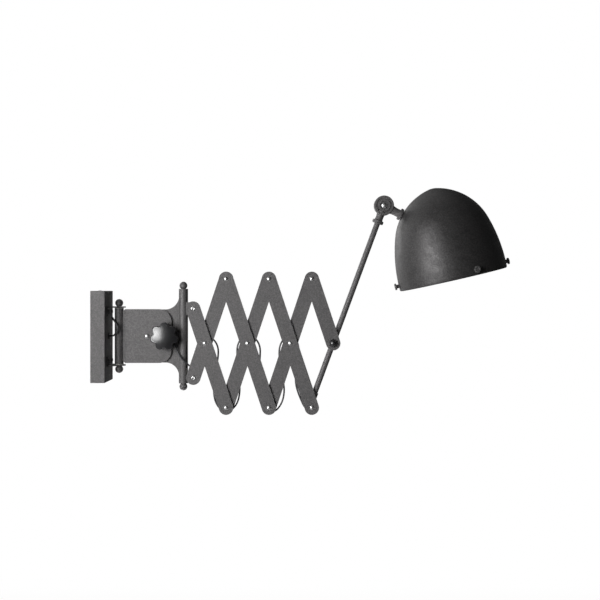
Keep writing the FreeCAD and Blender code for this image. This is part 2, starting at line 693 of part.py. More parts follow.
def tilt_plate():
    h = TILT_PLATE_HALF
    r = TILT_PLATE_CORNER_R
    x0 = TILT_PLATE_START_X
    end = GUIDE_X - GUIDE_R + 0.3
    flare = end - FLARE_R
    items = [(x0 + r, -h), (flare, -h), corner(flare, -h - FLARE_R, FLARE_R, 90, 0)]
    items += [(GUIDE_X, -h - FLARE_R), (GUIDE_X, h + FLARE_R), (end, h + FLARE_R)]
    items += [corner(flare, h + FLARE_R, FLARE_R, 0, -90), (x0 + r, h)]
    items += [corner(x0 + r, h - r, r, 90, 180), (x0, -h + r), corner(x0 + r, -h + r, r, 180, 270)]
    body = plate(items, TILT_FRONT_Y, TILT_BACK_Y)
    body = body.cut(post(GUIDE_X, 0, GUIDE_R + SEAT, -GUIDE_HALF, GUIDE_HALF))
    body = body.cut(disc(at(PIVOT_X, 0), PIVOT_R + RUNNING, -10, 10))
    body = body.cut(tilt_slot())
    return body.cut(disc(at(*CABLE_HOLE), 2.4 + SEAT, -10, 10))


def plate_grommet():
    origin = V(CABLE_HOLE[0], (TILT_FRONT_Y + TILT_BACK_Y) / 2, CABLE_HOLE[1])
    return grommet(origin, BACK, PLATE_T, 2.4, 3.2, 0.8)


def slider_travel():
    """Lowest and highest height of the lower pin."""
    low = UPPER_PIN.z - 2 * SHORT_ARM * math.cos(math.radians(LEAN_MIN))
    high = UPPER_PIN.z - 2 * SHORT_ARM * math.cos(math.radians(LEAN_MAX))
    return low, high


def guide_tube():
    body = post(GUIDE_X, 0, GUIDE_R, -GUIDE_HALF, GUIDE_HALF)
    body = body.cut(post(GUIDE_X, 0, GUIDE_BORE_R, -GUIDE_HALF - 1, GUIDE_HALF + 1))
    low, high = slider_travel()
    slot = block(GUIDE_X + 1, GUIDE_X + 20, LUG_FRONT_Y - 2 * FREE, LUG_BACK_Y + 2 * FREE,
                 low - TONGUE_HALF - 3 * FREE, high + TONGUE_HALF + 3 * FREE)
    return body.cut(slot)


def guide_ball(sign):
    ball = Part.makeSphere(BALL_R, V(GUIDE_X, 0, GUIDE_HALF + BALL_R - 1.2))
    ball = ball.cut(block(GUIDE_X - 20, GUIDE_X + 20, -20, 20, 0, GUIDE_HALF))
    spigot = post(GUIDE_X, 0, GUIDE_BORE_R - SEAT, GUIDE_HALF - CAP_SPIGOT, GUIDE_HALF)
    collar = post(GUIDE_X, 0, GUIDE_BORE_R - SEAT, GUIDE_HALF, GUIDE_HALF + 1.5)
    body = ball.fuse(collar).fuse(spigot)
    return body if sign > 0 else body.mirror(V(0, 0, 0), UP)


def guide_balls():
    return group([guide_ball(1), guide_ball(-1)])


def upper_lug():
    """The fixed lug, welded to the guide tube, with a boss out to the front links."""
    root = at(GUIDE_X + 4, UPPER_PIN.z)
    body = stadium(root, UPPER_PIN, LUG_R, LUG_FRONT_Y, LUG_BACK_Y)
    body = body.cut(block(GUIDE_X - 20, GUIDE_X + 3, -20, 20, 0, 90))
    body = body.cut(post(GUIDE_X, 0, GUIDE_R + SEAT, 0, 90))
    body = body.fuse(disc(UPPER_PIN, LINK_WASHER_R, FRONT_BACK_Y + FREE, LUG_FRONT_Y + 0.5))
    return pinned(body, [UPPER_PIN], -20, 5)


def slider_block():
    z0 = LOWER_PIN.z - SLIDER_DOWN
    z1 = LOWER_PIN.z + SLIDER_UP
    body = post(GUIDE_X, 0, GUIDE_BORE_R - SLIDING, z0, z1)
    notch = block(GUIDE_X + 1, GUIDE_X + 20, LUG_FRONT_Y, LUG_BACK_Y,
                  LOWER_PIN.z - TONGUE_HALF - 1, LOWER_PIN.z + TONGUE_HALF)
    return body.cut(notch)


def lower_lug():
    body = stadium(at(LOWER_PIN.x, LOWER_PIN.z), at(LOWER_PIN.x + 0.01, LOWER_PIN.z), LOWER_LUG_R, LUG_FRONT_Y, LUG_BACK_Y)
    tongue = block(GUIDE_X + 1, LOWER_PIN.x, LUG_FRONT_Y, LUG_BACK_Y,
                   LOWER_PIN.z - TONGUE_HALF, LOWER_PIN.z + TONGUE_HALF)
    body = body.fuse(tongue)
    body = body.fuse(disc(LOWER_PIN, LINK_WASHER_R, REAR_LAYER_BACK_Y + FREE, LUG_FRONT_Y + 0.5))
    return pinned(body, [LOWER_PIN], -20, 5)


# ---- lazy tongs -----------------------------------------------------------------------
def front_link(i):
    """Front links run from upper left to lower right; the last one is a half link."""
    start = UPPER_PIN if i == 0 else TOP_JOINTS[i - 1]
    end = BOTTOM_JOINTS[i] if i < CELLS else CROSSINGS[i]
    body = stadium(start, end, LINK_R, FRONT_FRONT_Y, FRONT_BACK_Y)
    if i == CELLS:
        body = pinned(body, [start], FRONT_FRONT_Y, FRONT_BACK_Y)
        return pinned(body, [end], FRONT_FRONT_Y, FRONT_BACK_Y, STUD_R + RUNNING)
    return pinned(body, [start, CROSSINGS[i], end], FRONT_FRONT_Y, FRONT_BACK_Y)


def rear_link(i):
    """Rear links run from lower left to upper right."""
    start = LOWER_PIN if i == 0 else BOTTOM_JOINTS[i - 1]
    end = TOP_JOINTS[i]
    body = stadium(start, end, LINK_R, REAR_FRONT_Y, REAR_LAYER_BACK_Y)
    return pinned(body, [start, CROSSINGS[i], end], REAR_FRONT_Y, REAR_LAYER_BACK_Y)


def link_pins(i):
    """The pins of front link i that pass through a rear link or the rod's end."""
    if i == 0:
        return [CROSSINGS[0], BOTTOM_JOINTS[0]]
    if i == CELLS:
        return [TOP_JOINTS[i - 1]]
    return [TOP_JOINTS[i - 1], CROSSINGS[i], BOTTOM_JOINTS[i]]


def link_rivets(i):
    solids = [rivet(p, FRONT_FRONT_Y - FREE / 2, REAR_LAYER_BACK_Y + FREE / 2) for p in link_pins(i)]
    if i == 0:
        solids.append(rivet(UPPER_PIN, FRONT_FRONT_Y - FREE / 2, LUG_BACK_Y + FREE / 2, hollow=True))
    return group(solids)


def lower_rivet():
    return rivet(LOWER_PIN, REAR_FRONT_Y - FREE / 2, LUG_BACK_Y + FREE / 2, hollow=True)


def link_washers(i):
    y0 = FRONT_BACK_Y + FREE
    y1 = REAR_FRONT_Y - FREE
    return group([ring_washer(p, LINK_WASHER_R, RIVET_R + RUNNING, y0, y1) for p in link_pins(i)])


# ---- rod ------------------------------------------------------------------------------
def on_rod(distance):
    """A point on the rod's axis, measured up from crossing 4."""
    return ROD_ORIGIN + ROD_UP * distance


def lamp_rod():
    start = on_rod(-ROD_END_FROM + 6)
    end = on_rod(ROD_TO_SWIVEL - SWIVEL_COLLAR_TO + SWIVEL_SOCKET)
    return bar(start, end, ROD_R).cut(bar(start - ROD_UP, end + ROD_UP, ROD_BORE_R))


def rod_end():
    """A socket on the rod's foot with a flat eye for the last joint."""
    eye_pin = BOTTOM_JOINTS[-1]
    socket_top = -ROD_END_FROM + ROD_END_SOCKET
    eye = disc(eye_pin, ROD_END_EYE_R, REAR_FRONT_Y, REAR_LAYER_BACK_Y)
    web = stadium(eye_pin, at(on_rod(socket_top - 4).x, on_rod(socket_top - 4).z), 4.0,
                  REAR_FRONT_Y, REAR_LAYER_BACK_Y)
    socket = bar(on_rod(-ROD_END_FROM), on_rod(socket_top), ROD_END_R)
    body = eye.fuse(web).fuse(socket)
    body = body.cut(bar(on_rod(-ROD_END_FROM + 6), on_rod(socket_top + 9), ROD_R + SEAT))
    body = body.cut(bar(on_rod(-ROD_END_FROM - 1), on_rod(-ROD_END_FROM + 7), CABLE_BORE_R))
    return pinned(body, [eye_pin], -15, 5)


def rod_collar():
    """A collar on the rod at the last crossing, with the stud that link 4 turns on."""
    centre = CROSSINGS[-1]
    body = bar(on_rod(-COLLAR_HALF), on_rod(COLLAR_HALF), COLLAR_R)
    boss = disc(centre, COLLAR_R - 0.5, FRONT_BACK_Y + FREE, ROD_Y)
    stud = disc(centre, STUD_R, FRONT_FRONT_Y - NUT_H + 2, ROD_Y)
    body = body.fuse(boss).fuse(stud)
    return body.cut(bar(on_rod(-COLLAR_HALF - 1), on_rod(COLLAR_HALF + 1), ROD_R + SEAT))


def domed_nut():
    base = FRONT_FRONT_Y - FREE
    tip = base - NUT_H
    items = [(tip, 0), cap_middle(tip, base - 1.5, NUT_R) + (base - 1.5, NUT_R), (base, NUT_R), (base, 0)]
    body = turned(items, CROSSINGS[-1], BACK)
    return body.cut(disc(CROSSINGS[-1], STUD_R + SEAT, FRONT_FRONT_Y - NUT_H + 1.9, 0))


# ---- swivel ---------------------------------------------------------------------------
def swivel_front_y():
    return ROD_Y - SWIVEL_HALF_T


def swivel_lower():
    """The front half of the swivel, its neck and the collar that takes the rod."""
    front = swivel_front_y()
    back = ROD_Y - FREE / 2
    floor = front + SWIVEL_RECESS
    profile = [(floor, 0), (floor, 6.8), (front, 7.4), (front, 10.8), (front + 2.0, 11.4), (front + 2.0, 13.0)]
    profile += [(front + 0.4, 13.6), (front + 0.4, SWIVEL_R - 1), (front + 1.4, SWIVEL_R)]
    profile += [(back, SWIVEL_R), (back, 0)]
    body = turned(profile, at(SWIVEL.x, SWIVEL.z), BACK)
    neck = [(SWIVEL_R - 6, 0), (SWIVEL_R - 6, 8.6), (SWIVEL_R + 3.5, 6.6, SWIVEL_COLLAR_FROM, 7.2)]
    neck += [(SWIVEL_COLLAR_FROM, SWIVEL_COLLAR_R - 0.8), (SWIVEL_COLLAR_FROM + 0.8, SWIVEL_COLLAR_R)]
    neck += [(SWIVEL_COLLAR_TO - 0.8, SWIVEL_COLLAR_R), (SWIVEL_COLLAR_TO, SWIVEL_COLLAR_R - 0.8)]
    neck += [(SWIVEL_COLLAR_TO, 0)]
    stem = turned(neck, SWIVEL, ROD_UP * -1)
    stem = stem.cut(disc(SWIVEL, SWIVEL_R + SWIVEL_NECK_CLEAR, back, ROD_Y + 30))
    body = body.fuse(stem)
    socket_end = SWIVEL - ROD_UP * (SWIVEL_COLLAR_TO - SWIVEL_SOCKET)
    body = body.cut(bar(socket_end, SWIVEL - ROD_UP * 40, ROD_R + SEAT))
    body = body.cut(disc(SWIVEL, SWIVEL_SCREW_R + SEAT, front - 1, back + 1))
    return body.removeSplitter()


def swivel_screw():
    front = swivel_front_y()
    tip = front - 1.4
    seat = front + SWIVEL_RECESS
    items = [(tip, 0), cap_middle(tip, seat - 1.4, SWIVEL_SCREW_HEAD_R) + (seat - 1.4, SWIVEL_SCREW_HEAD_R)]
    items += [(seat, SWIVEL_SCREW_HEAD_R), (seat, SWIVEL_SCREW_R)]
    items += [(ROD_Y + SWIVEL_HALF_T + 6, SWIVEL_SCREW_R), (ROD_Y + SWIVEL_HALF_T + 6, 0)]
    return turned(items, at(SWIVEL.x, SWIVEL.z), BACK)


def swivel_nut():
    y0 = ROD_Y + SWIVEL_HALF_T + FREE
    corners = [direction(60 * i) * 6.2 for i in range(6)]
    body = plate([(SWIVEL.x + p.x, SWIVEL.z + p.z) for p in corners], y0, y0 + 4.5)
    return body.cut(disc(SWIVEL, SWIVEL_SCREW_R + SEAT, y0 - 1, y0 + 6))


def swivel_upper():
    """The rear half of the swivel with the arm and flange that carry the shade."""
    front = ROD_Y + FREE / 2
    back = ROD_Y + SWIVEL_HALF_T
    profile = [(front, 0), (front, SWIVEL_R), (back - 1, SWIVEL_R), (back, SWIVEL_R - 1), (back, 0)]
    body = turned(profile, at(SWIVEL.x, SWIVEL.z), BACK)
    flange_to = ARM_REACH - 0.5
    flange_from = flange_to - FLANGE_T
    neck = [(SWIVEL_R - 6, 0), (SWIVEL_R - 6, 9.4), (SWIVEL_R + 4.5, 7.0, flange_from, 7.4)]
    neck += [(flange_from, FLANGE_R - 0.6), (flange_from + 0.6, FLANGE_R), (flange_to - 0.6, FLANGE_R)]
    neck += [(flange_to, FLANGE_R - 0.6), (flange_to, 0)]
    stem = turned(neck, SWIVEL, ARM)
    stem = stem.cut(disc(SWIVEL, SWIVEL_R + SWIVEL_NECK_CLEAR, ROD_Y - 30, front))
    body = body.fuse(stem)
    body = body.cut(bar(SWIVEL + ARM * 24, SWIVEL + ARM * 60, NIPPLE_R + SEAT))
    body = body.cut(disc(SWIVEL, SWIVEL_SCREW_R + RUNNING, front - 1, back + 1))
    return body.removeSplitter()


# ---- shade ----------------------------------------------------------------------------
def dome_centres():
    """Centres of the dome's three tangent arcs as (radius, height above the rim)."""
    apex = (0.0, SHADE_HEIGHT - APEX_R)
    side = (SHADE_RIM_R - SIDE_R, SIDE_CENTRE_H)
    gap_r = side[0] - apex[0]
    gap_h = side[1] - apex[1]
    gap = math.hypot(gap_r, gap_h)
    to_apex = SHOULDER_R - APEX_R
    to_side = SIDE_R - SHOULDER_R
    along = (to_apex ** 2 - to_side ** 2 + gap ** 2) / (2 * gap)
    across = math.sqrt(to_apex ** 2 - along ** 2)
    shoulder_r = apex[0] + (along * gap_r - across * gap_h) / gap
    shoulder_h = apex[1] + (along * gap_h + across * gap_r) / gap
    return apex, (shoulder_r, shoulder_h), side


def dome_point(centre, radius, degrees):
    """A point of an arc at an angle from the shade's axis, as (height, radius)."""
    angle = math.radians(degrees)
    return centre[1] + radius * math.cos(angle), centre[0] + radius * math.sin(angle)


def dome_angles():
    """Angles from the shade's axis where the arcs meet."""
    apex, shoulder, side = dome_centres()
    first = math.degrees(math.atan2(apex[0] - shoulder[0], apex[1] - shoulder[1]))
    second = math.degrees(math.atan2(shoulder[0] - side[0], shoulder[1] - side[1]))
    return first, second


def dome_outline(inset, base):
    """Arcs of the dome's wall, moved in by inset, from height base to the apex."""
    apex, shoulder, side = dome_centres()
    first, second = dome_angles()
    side_r = SIDE_R - inset
    foot = 90 + math.degrees(math.asin((side[1] - base) / side_r))
    start = dome_point(side, side_r, foot)
    items = [start]
    items.append(dome_point(side, side_r, (foot + second) / 2) + dome_point(side, side_r, second))
    shoulder_r = SHOULDER_R - inset
    items.append(dome_point(shoulder, shoulder_r, (first + second) / 2) + dome_point(shoulder, shoulder_r, first))
    apex_r = APEX_R - inset
    items.append(dome_point(apex, apex_r, first / 2) + (apex[1] + apex_r, 0.0))
    return items


def nipple_point():
    """Where the arm meets the dome, as (height, radius) in the shade."""
    return dome_point(dome_centres()[1], SHOULDER_R, NIPPLE_ANGLE)


def shade_foot():
    """The centre of the rim's plane, placed so that the arm meets the dome square."""
    height, radius = nipple_point()
    return SWIVEL + ARM * ARM_REACH - SHADE_UP * height + SHADE_SIDE * radius


def shade():
    outer = turned(dome_outline(0, 0) + [(0, 0)], shade_foot(), SHADE_UP)
    inner = turned(dome_outline(SHADE_WALL, -5) + [(-5, 0)], shade_foot(), SHADE_UP)
    body = outer.cut(inner)
    body = body.cut(bar(SWIVEL + ARM * (ARM_REACH - 6), SWIVEL + ARM * (ARM_REACH + 6), NIPPLE_R + FREE))
    for place, outward in rim_screw_places():
        body = body.cut(bar(place - outward * 12, place + outward * 4, 2 + FREE))
    return body


def rim_ring():
    """The ring inside the mouth that the rim screws hold."""
    outer_r = dome_outline(SHADE_WALL, 0)[0][1] - FREE
    inner_r = outer_r - RIM_RING_T
    lip_r = inner_r - 6
    items = [(-RIM_RING_DROP, lip_r), (-RIM_RING_DROP, outer_r), (RIM_RING_HEIGHT, outer_r - 0.15)]
    items += [(RIM_RING_HEIGHT, inner_r - 0.15), (-RIM_RING_DROP + RIM_RING_T, inner_r)]
    items += [(-RIM_RING_DROP + RIM_RING_T, lip_r)]
    body = turned(items, shade_foot(), SHADE_UP)
    for place, outward in rim_screw_places():
        body = body.cut(bar(place - outward * 12, place + outward * 4, 2 + SEAT))
    return body


def rim_screw_places():
    """Each rim screw's point on the dome and its outward direction."""
    side = dome_centres()[2]
    radius = side[0] + math.sqrt(SIDE_R ** 2 - (RIM_SCREW_H - side[1]) ** 2)
    places = []
    for degrees in RIM_SCREW_TURNS:
        turn = math.radians(degrees)
        outward = SHADE_SIDE * math.sin(turn) - BACK * math.cos(turn)
        places.append((shade_foot() + SHADE_UP * RIM_SCREW_H + outward * radius, outward))
    return places


def rim_screws():
    """Thumb screws: a round head on a short neck, threaded through the ring."""
    solids = []
    neck = RIM_SCREW_STANDOFF
    head = RIM_SCREW_HEAD_T
    for place, outward in rim_screw_places():
        items = [(-5, 0), (-5, 2), (0.6, 2), (0.6, RIM_SCREW_NECK_R), (neck, RIM_SCREW_NECK_R)]
        items += [(neck, RIM_SCREW_HEAD_R - 0.6), (neck + 0.6, RIM_SCREW_HEAD_R)]
        items += [(neck + head - 0.8, RIM_SCREW_HEAD_R), (neck + head, RIM_SCREW_HEAD_R - 0.8), (neck + head, 0)]
        solids.append(turned(items, place, outward))
    return group(solids)


def holder_from():
    """Distance along the arm of the lamp holder's back."""
    return ARM_REACH + SHADE_WALL + 5.5


def shade_nipple():
    """The threaded nipple and its nut inside the dome."""
    tube = bar(SWIVEL + ARM * 26, SWIVEL + ARM * (holder_from() + 6), NIPPLE_R)
    tube = tube.cut(bar(SWIVEL + ARM * 25, SWIVEL + ARM * (holder_from() + 7), NIPPLE_R - 1.2))
    start = SWIVEL + ARM * (ARM_REACH + SHADE_WALL + 1.4)
    nut = bar(start, start + ARM * 3.5, 8.5).cut(bar(start - ARM, start + ARM * 5, NIPPLE_R + SEAT))
    return group([tube, nut])


def lamp_holder():
    """A screw lamp holder on the nipple, its mouth towards the dome's middle."""
    origin = SWIVEL + ARM * holder_from()
    inner = BULB_BASE_R + 0.6
    mouth = inner + 2.2
    items = [(0, NIPPLE_R + SEAT), (0, 9), (4, HOLDER_CAP_R), (22, HOLDER_CAP_R), (22, HOLDER_R)]
    items += [(26, HOLDER_R), (28, HOLDER_R - 1), (HOLDER_LENGTH, HOLDER_R - 1.5), (HOLDER_LENGTH, mouth)]
    items += [(HOLDER_LENGTH - 8, mouth), (HOLDER_LENGTH - 9, inner), (20, inner), (20, 6), (7, 6)]
    items += [(7, NIPPLE_R + SEAT)]
    return turned(items, origin, ARM)


def bulb():
    """A screw bulb: base and glass as one thin turned shell, open at the base's contact."""
    origin = SWIVEL + ARM * (holder_from() + 21)
    base = 30.0
    centre = BULB_LENGTH - BULB_R
    belly = centre + BULB_R * 0.72
    belly_r = BULB_R * 0.694
    wall = BULB_WALL
    outer = [(0, 2), (0, 5), (3, BULB_BASE_R), (base - 3, BULB_BASE_R), (base, 14.5)]
    outer += [(42, 17.5, 64, 26.5), (centre + 2, BULB_R + 0.2, belly, belly_r)]
    outer += [cap_middle(BULB_LENGTH, belly, belly_r) + (BULB_LENGTH, 0)]
    inner = [(BULB_LENGTH - wall, 0)]
    inner += [cap_middle(BULB_LENGTH - wall, belly - wall * 0.6, belly_r - wall * 0.6)
              + (belly - wall * 0.6, belly_r - wall * 0.6)]
    inner += [(centre + 2, BULB_R + 0.2 - wall, 64, 26.5 - wall), (42, 17.5 - wall, base, 14.5 - wall)]
    inner += [(base - 3, BULB_BASE_R - wall), (3 + wall, BULB_BASE_R - wall), (3, 2)]
    return turned(outer + inner, origin, ARM)


# ---- every piece ----------------------------------------------------------------------
def pieces():
    made = {
        "wall_plate": wall_plate(),
        "box_cover": box_cover(),
        "cover_screws": cover_screws(),
        "terminal_block": terminal_block(),
        "earth_screw": earth_screw(),
        "cover_grommet": cover_grommet(),
        "hinge_brackets": hinge_brackets(),
        "bracket_screws": bracket_screws(),
        "hinge_pin": hinge_pin(),
        "hinge_balls": hinge_balls(),
        "swing_tube": swing_tube(),
        "hinge_bushes": hinge_bushes(),
        "swing_plate": swing_plate(),
        "cable_clip": cable_clip(),
        "clamp_bolt": clamp_bolt(),
        "clamp_washers": clamp_washers(),
        "pivot_rivet": pivot_rivet(),
        "friction_washer": friction_washer(),
        "clamp_knob": clamp_knob(),
        "knob_insert": knob_insert(),
        "tilt_plate": tilt_plate(),
        "guide_tube": guide_tube(),
        "guide_balls": guide_balls(),
        "upper_lug": upper_lug(),
        "plate_grommet": plate_grommet(),
        "slider_block": slider_block(),
        "lower_lug": lower_lug(),
        "lower_rivet": lower_rivet(),
        "rod": lamp_rod(),
        "rod_end": rod_end(),
        "rod_collar": rod_collar(),
        "domed_nut": domed_nut(),
        "swivel_lower": swivel_lower(),
        "swivel_screw": swivel_screw(),
        "swivel_nut": swivel_nut(),
        "swivel_upper": swivel_upper(),
        "shade_nipple": shade_nipple(),
        "shade": shade(),
        "rim_ring": rim_ring(),
        "rim_screws": rim_screws(),
        "lamp_holder": lamp_holder(),
        "bulb": bulb(),
        "cable_hinge_loop": cable("cable_hinge_loop", HINGE_LOOP),
        "cable_arm_run": cable("cable_arm_run", ARM_RUN),
        "cable_scissor_run": scissor_run(),
    }
    for i in range(CELLS + 1):
        made[f"front_link_{i + 1}"] = front_link(i)
        made[f"link_rivets_{i + 1}"] = link_rivets(i)
        made[f"link_washers_{i + 1}"] = link_washers(i)
    for i in range(CELLS):
        made[f"rear_link_{i + 1}"] = rear_link(i)
    return made


def main():
    os.makedirs("parts", exist_ok=True)
    for name, shape in pieces().items():
        if not shape.isValid():
            raise ValueError(f"{name} is not a valid shape")
        shape.exportStep(f"parts/{name}.step")


main()
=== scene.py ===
"""Looks for the accordion wall lamp: powder-coated scissor arm, glossy knob, cable and domed shade.

The lamp's lengths are written in millimetres and turned into metres by MM; the studio's sheet and
lights are in metres. The frame is the CAD frame: X out of the wall, Z up, and the links in front of
Y = 0, towards the camera at -Y.
"""
import sys
import json
import logging
import math
from dataclasses import dataclass, field
from enum import Enum

import bpy
import numpy as np
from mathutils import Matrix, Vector


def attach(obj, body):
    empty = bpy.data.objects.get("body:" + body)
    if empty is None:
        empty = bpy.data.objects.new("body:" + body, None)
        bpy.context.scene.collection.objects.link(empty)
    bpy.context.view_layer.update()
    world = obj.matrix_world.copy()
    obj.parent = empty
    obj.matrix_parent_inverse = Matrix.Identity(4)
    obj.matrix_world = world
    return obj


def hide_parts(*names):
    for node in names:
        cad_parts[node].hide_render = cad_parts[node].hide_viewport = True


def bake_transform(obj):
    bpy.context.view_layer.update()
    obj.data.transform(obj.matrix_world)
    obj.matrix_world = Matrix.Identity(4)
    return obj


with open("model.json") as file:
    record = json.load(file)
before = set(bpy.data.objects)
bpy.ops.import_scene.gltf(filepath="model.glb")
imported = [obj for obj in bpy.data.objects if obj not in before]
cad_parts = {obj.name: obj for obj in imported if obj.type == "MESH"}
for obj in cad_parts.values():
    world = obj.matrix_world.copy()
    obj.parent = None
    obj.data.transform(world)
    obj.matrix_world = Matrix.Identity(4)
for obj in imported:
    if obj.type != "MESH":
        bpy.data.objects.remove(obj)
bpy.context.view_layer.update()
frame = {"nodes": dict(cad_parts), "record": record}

MM = 0.001
WHITE = (1.0, 1.0, 1.0, 1.0)
LOG = logging.getLogger("accordion_lamp")


# ---- shader expressions ---------------------------------------------------------------
class Signal:
    """One shader socket as a number, so that a pattern is written as an expression."""

    def __init__(self, graph: "Graph", socket: bpy.types.NodeSocket) -> None:
        """Keep the socket and the graph that its nodes are added to."""
        self.graph = graph
        self.socket = socket

    def __add__(self, other: object) -> "Signal":
        """Sum."""
        return self.graph.math("ADD", self, other)

    __radd__ = __add__

    def __sub__(self, other: object) -> "Signal":
        """Difference."""
        return self.graph.math("SUBTRACT", self, other)

    def __rsub__(self, other: object) -> "Signal":
        """Difference with the signal taken away."""
        return self.graph.math("SUBTRACT", other, self)

    def __mul__(self, other: object) -> "Signal":
        """Product."""
        return self.graph.math("MULTIPLY", self, other)

    __rmul__ = __mul__

    def above(self, level: float, softness: float) -> "Signal":
        """A mask that rises from 0 to 1 around a level.

        Args:
            level: the middle of the rise.
            softness: half the width of the rise.

        Returns:
            The mask.
        """
        return self.graph.ramp(self, [(level - softness, 0.0), (level + softness, 1.0)])


class Graph:
    """A material's node tree, with one method that adds any node."""

    def __init__(self, name: str, world: bpy.types.World | None = None) -> None:
        """Start an empty node tree: a Principled shader with an output, or a world's output alone."""
        self.material = world or bpy.data.materials.new(name)
        self.material.use_nodes = True
        self.tree = self.material.node_tree
        self.tree.nodes.clear()
        self._place: bpy.types.NodeSocket | None = None
        self.output = self.node("ShaderNodeOutputWorld" if world else "ShaderNodeOutputMaterial")
        if world is None:
            self.shader = self.node("ShaderNodeBsdfPrincipled")
            self.tree.links.new(self.shader.outputs[0], self.output.inputs["Surface"])

    def node(self, kind: str, settings: dict | None = None, inputs: dict | None = None) -> bpy.types.Node:
        """Add a node, set its own settings, then fill or link its sockets.

        Args:
            kind: the node's type.
            settings: attributes of the node, such as an operation.
            inputs: values, signals or sockets by socket name or number.

        Returns:
            The node.
        """
        made = self.tree.nodes.new(kind)
        for key, value in (settings or {}).items():
            setattr(made, key, value)
        for key, value in (inputs or {}).items():
            self.feed(made.inputs[key], value)
        return made

    def feed(self, socket: bpy.types.NodeSocket, value: object) -> None:
        """Link a signal or socket, or set a plain value."""
        if isinstance(value, Signal):
            self.tree.links.new(value.socket, socket)
        elif isinstance(value, bpy.types.NodeSocket):
            self.tree.links.new(value, socket)
        else:
            socket.default_value = value

    def math(self, operation: str, first: object, second: object) -> Signal:
        """Add a Math node."""
        made = self.node("ShaderNodeMath", {"operation": operation}, {0: first, 1: second})
        return Signal(self, made.outputs[0])

    def ramp(self, value: Signal, stops: list[tuple[float, float]]) -> Signal:
        """Map a signal through two levels with a smooth step.

        Args:
            value: the signal.
            stops: two pairs of (input, output).

        Returns:
            The mapped signal.
        """
        (low, out_low), (high, out_high) = stops
        made = self.node("ShaderNodeMapRange", {"interpolation_type": "SMOOTHSTEP"},
                         {0: value, 1: low, 2: high, 3: out_low, 4: out_high})
        return Signal(self, made.outputs[0])

    def place(self) -> bpy.types.NodeSocket:
        """The point on the piece, in the CAD frame."""
        if self._place is None:
            self._place = self.node("ShaderNodeTexCoord").outputs["Object"]
        return self._place

    def stretched(self, scale: tuple[float, float, float]) -> bpy.types.NodeSocket:
        """The point on the piece with each axis scaled."""
        return self.node("ShaderNodeMapping", None, {"Vector": self.place(), "Scale": scale}).outputs[0]

    def noise(self, size_mm: float, detail: float = 2.0, rough: float = 0.5,
              place: bpy.types.NodeSocket | None = None) -> Signal:
        """Cloudy noise.

        Args:
            size_mm: about how far across its blobs are.
            detail: how many finer layers it has.
            rough: how strong the finer layers are.
            place: the point that it reads, if not the point on the piece.

        Returns:
            The noise, about 0.5 on average.
        """
        made = self.node("ShaderNodeTexNoise", None, {
            "Vector": place or self.place(), "Scale": 1.0 / (size_mm * MM), "Detail": detail,
            "Roughness": rough})
        return Signal(self, made.outputs[0])

    def blend(self, factor: Signal, under: object, over: tuple) -> bpy.types.NodeSocket:
        """Mix one colour over another.

        Args:
            factor: how much of the upper colour shows.
            under: the lower colour, or the socket of one that is already mixed.
            over: the upper colour.

        Returns:
            The mixed colour's socket.
        """
        first = (*under, 1.0) if isinstance(under, tuple) else under
        made = self.node("ShaderNodeMix", {"data_type": "RGBA"}, {0: factor, 6: first, 7: (*over, 1.0)})
        return made.outputs[2]

    def part(self, place: bpy.types.NodeSocket, axis: str) -> Signal:
        """One coordinate of a point."""
        return Signal(self, self.node("ShaderNodeSeparateXYZ", None, {0: place}).outputs[axis])

    def seen(self, mirrored: "Signal | float") -> Signal:
        """A mask of what is seen: 1 for a ray from the camera or through glass.

        Args:
            mirrored: the mask's value for a ray off a glossy surface.

        Returns:
            The mask.
        """
        rays = self.node("ShaderNodeLightPath")
        glossy = Signal(self, rays.outputs["Is Glossy Ray"]) * mirrored
        straight = self.math("MAXIMUM", Signal(self, rays.outputs["Is Camera Ray"]),
                             Signal(self, rays.outputs["Is Transmission Ray"]))
        return self.math("MAXIMUM", straight, glossy)

    def bump(self, height: Signal, depth_mm: float, strength: float) -> None:
        """Bump the surface by a height signal."""
        made = self.node("ShaderNodeBump", None,
                         {"Height": height, "Distance": depth_mm * MM, "Strength": strength})
        self.tree.links.new(made.outputs[0], self.shader.inputs["Normal"])

    def set(self, **values: object) -> None:
        """Set or link the shader's sockets, with underscores for spaces."""
        for key, value in values.items():
            self.feed(self.shader.inputs[key.replace("_", " ")], value)


# ---- finishes -------------------------------------------------------------------------
@dataclass(frozen=True)
class PowderCoat:
    """Fine-textured matt powder coat: dark grains with paler crowns on a rippled ground."""

    name: str = "powder_coat"
    dark: tuple = (0.071, 0.069, 0.070)
    light: tuple = (0.164, 0.159, 0.160)
    scuff: tuple = (0.24, 0.24, 0.24)
    grain_mm: float = 0.7
    ripple_mm: float = 2.2
    blotch_mm: float = 2.6
    scuff_mm: float = 3.5
    mottle_mm: float = 14.0
    rough: float = 0.54
    metal: float = 0.30

    def make(self) -> bpy.types.Material:
        """Build the material: grain and mottling in the colour, grain in the bump."""
        g = Graph(self.name)
        grain = g.noise(self.grain_mm, 3.0, 0.65)
        mottle = g.noise(self.mottle_mm, 4.0, 0.6)
        crowns = grain.above(0.54, 0.16)
        blotch = g.noise(self.blotch_mm, 3.0, 0.6).above(0.52, 0.14)
        colour = g.blend(crowns * 0.55 + blotch * 0.35 + mottle * 0.3 - 0.1, self.dark, self.light)
        wear = g.noise(self.scuff_mm, 5.0, 0.7).above(0.73, 0.03) * 0.35
        g.set(Base_Color=g.blend(wear, colour, self.scuff))
        g.set(Roughness=g.ramp(mottle, [(0.3, self.rough - 0.05), (0.7, self.rough + 0.08)]))
        g.set(Specular_IOR_Level=0.25, Metallic=self.metal)
        g.bump(grain + g.noise(self.ripple_mm, 2.0) * 0.6, 0.09, 0.55)
        return g.material


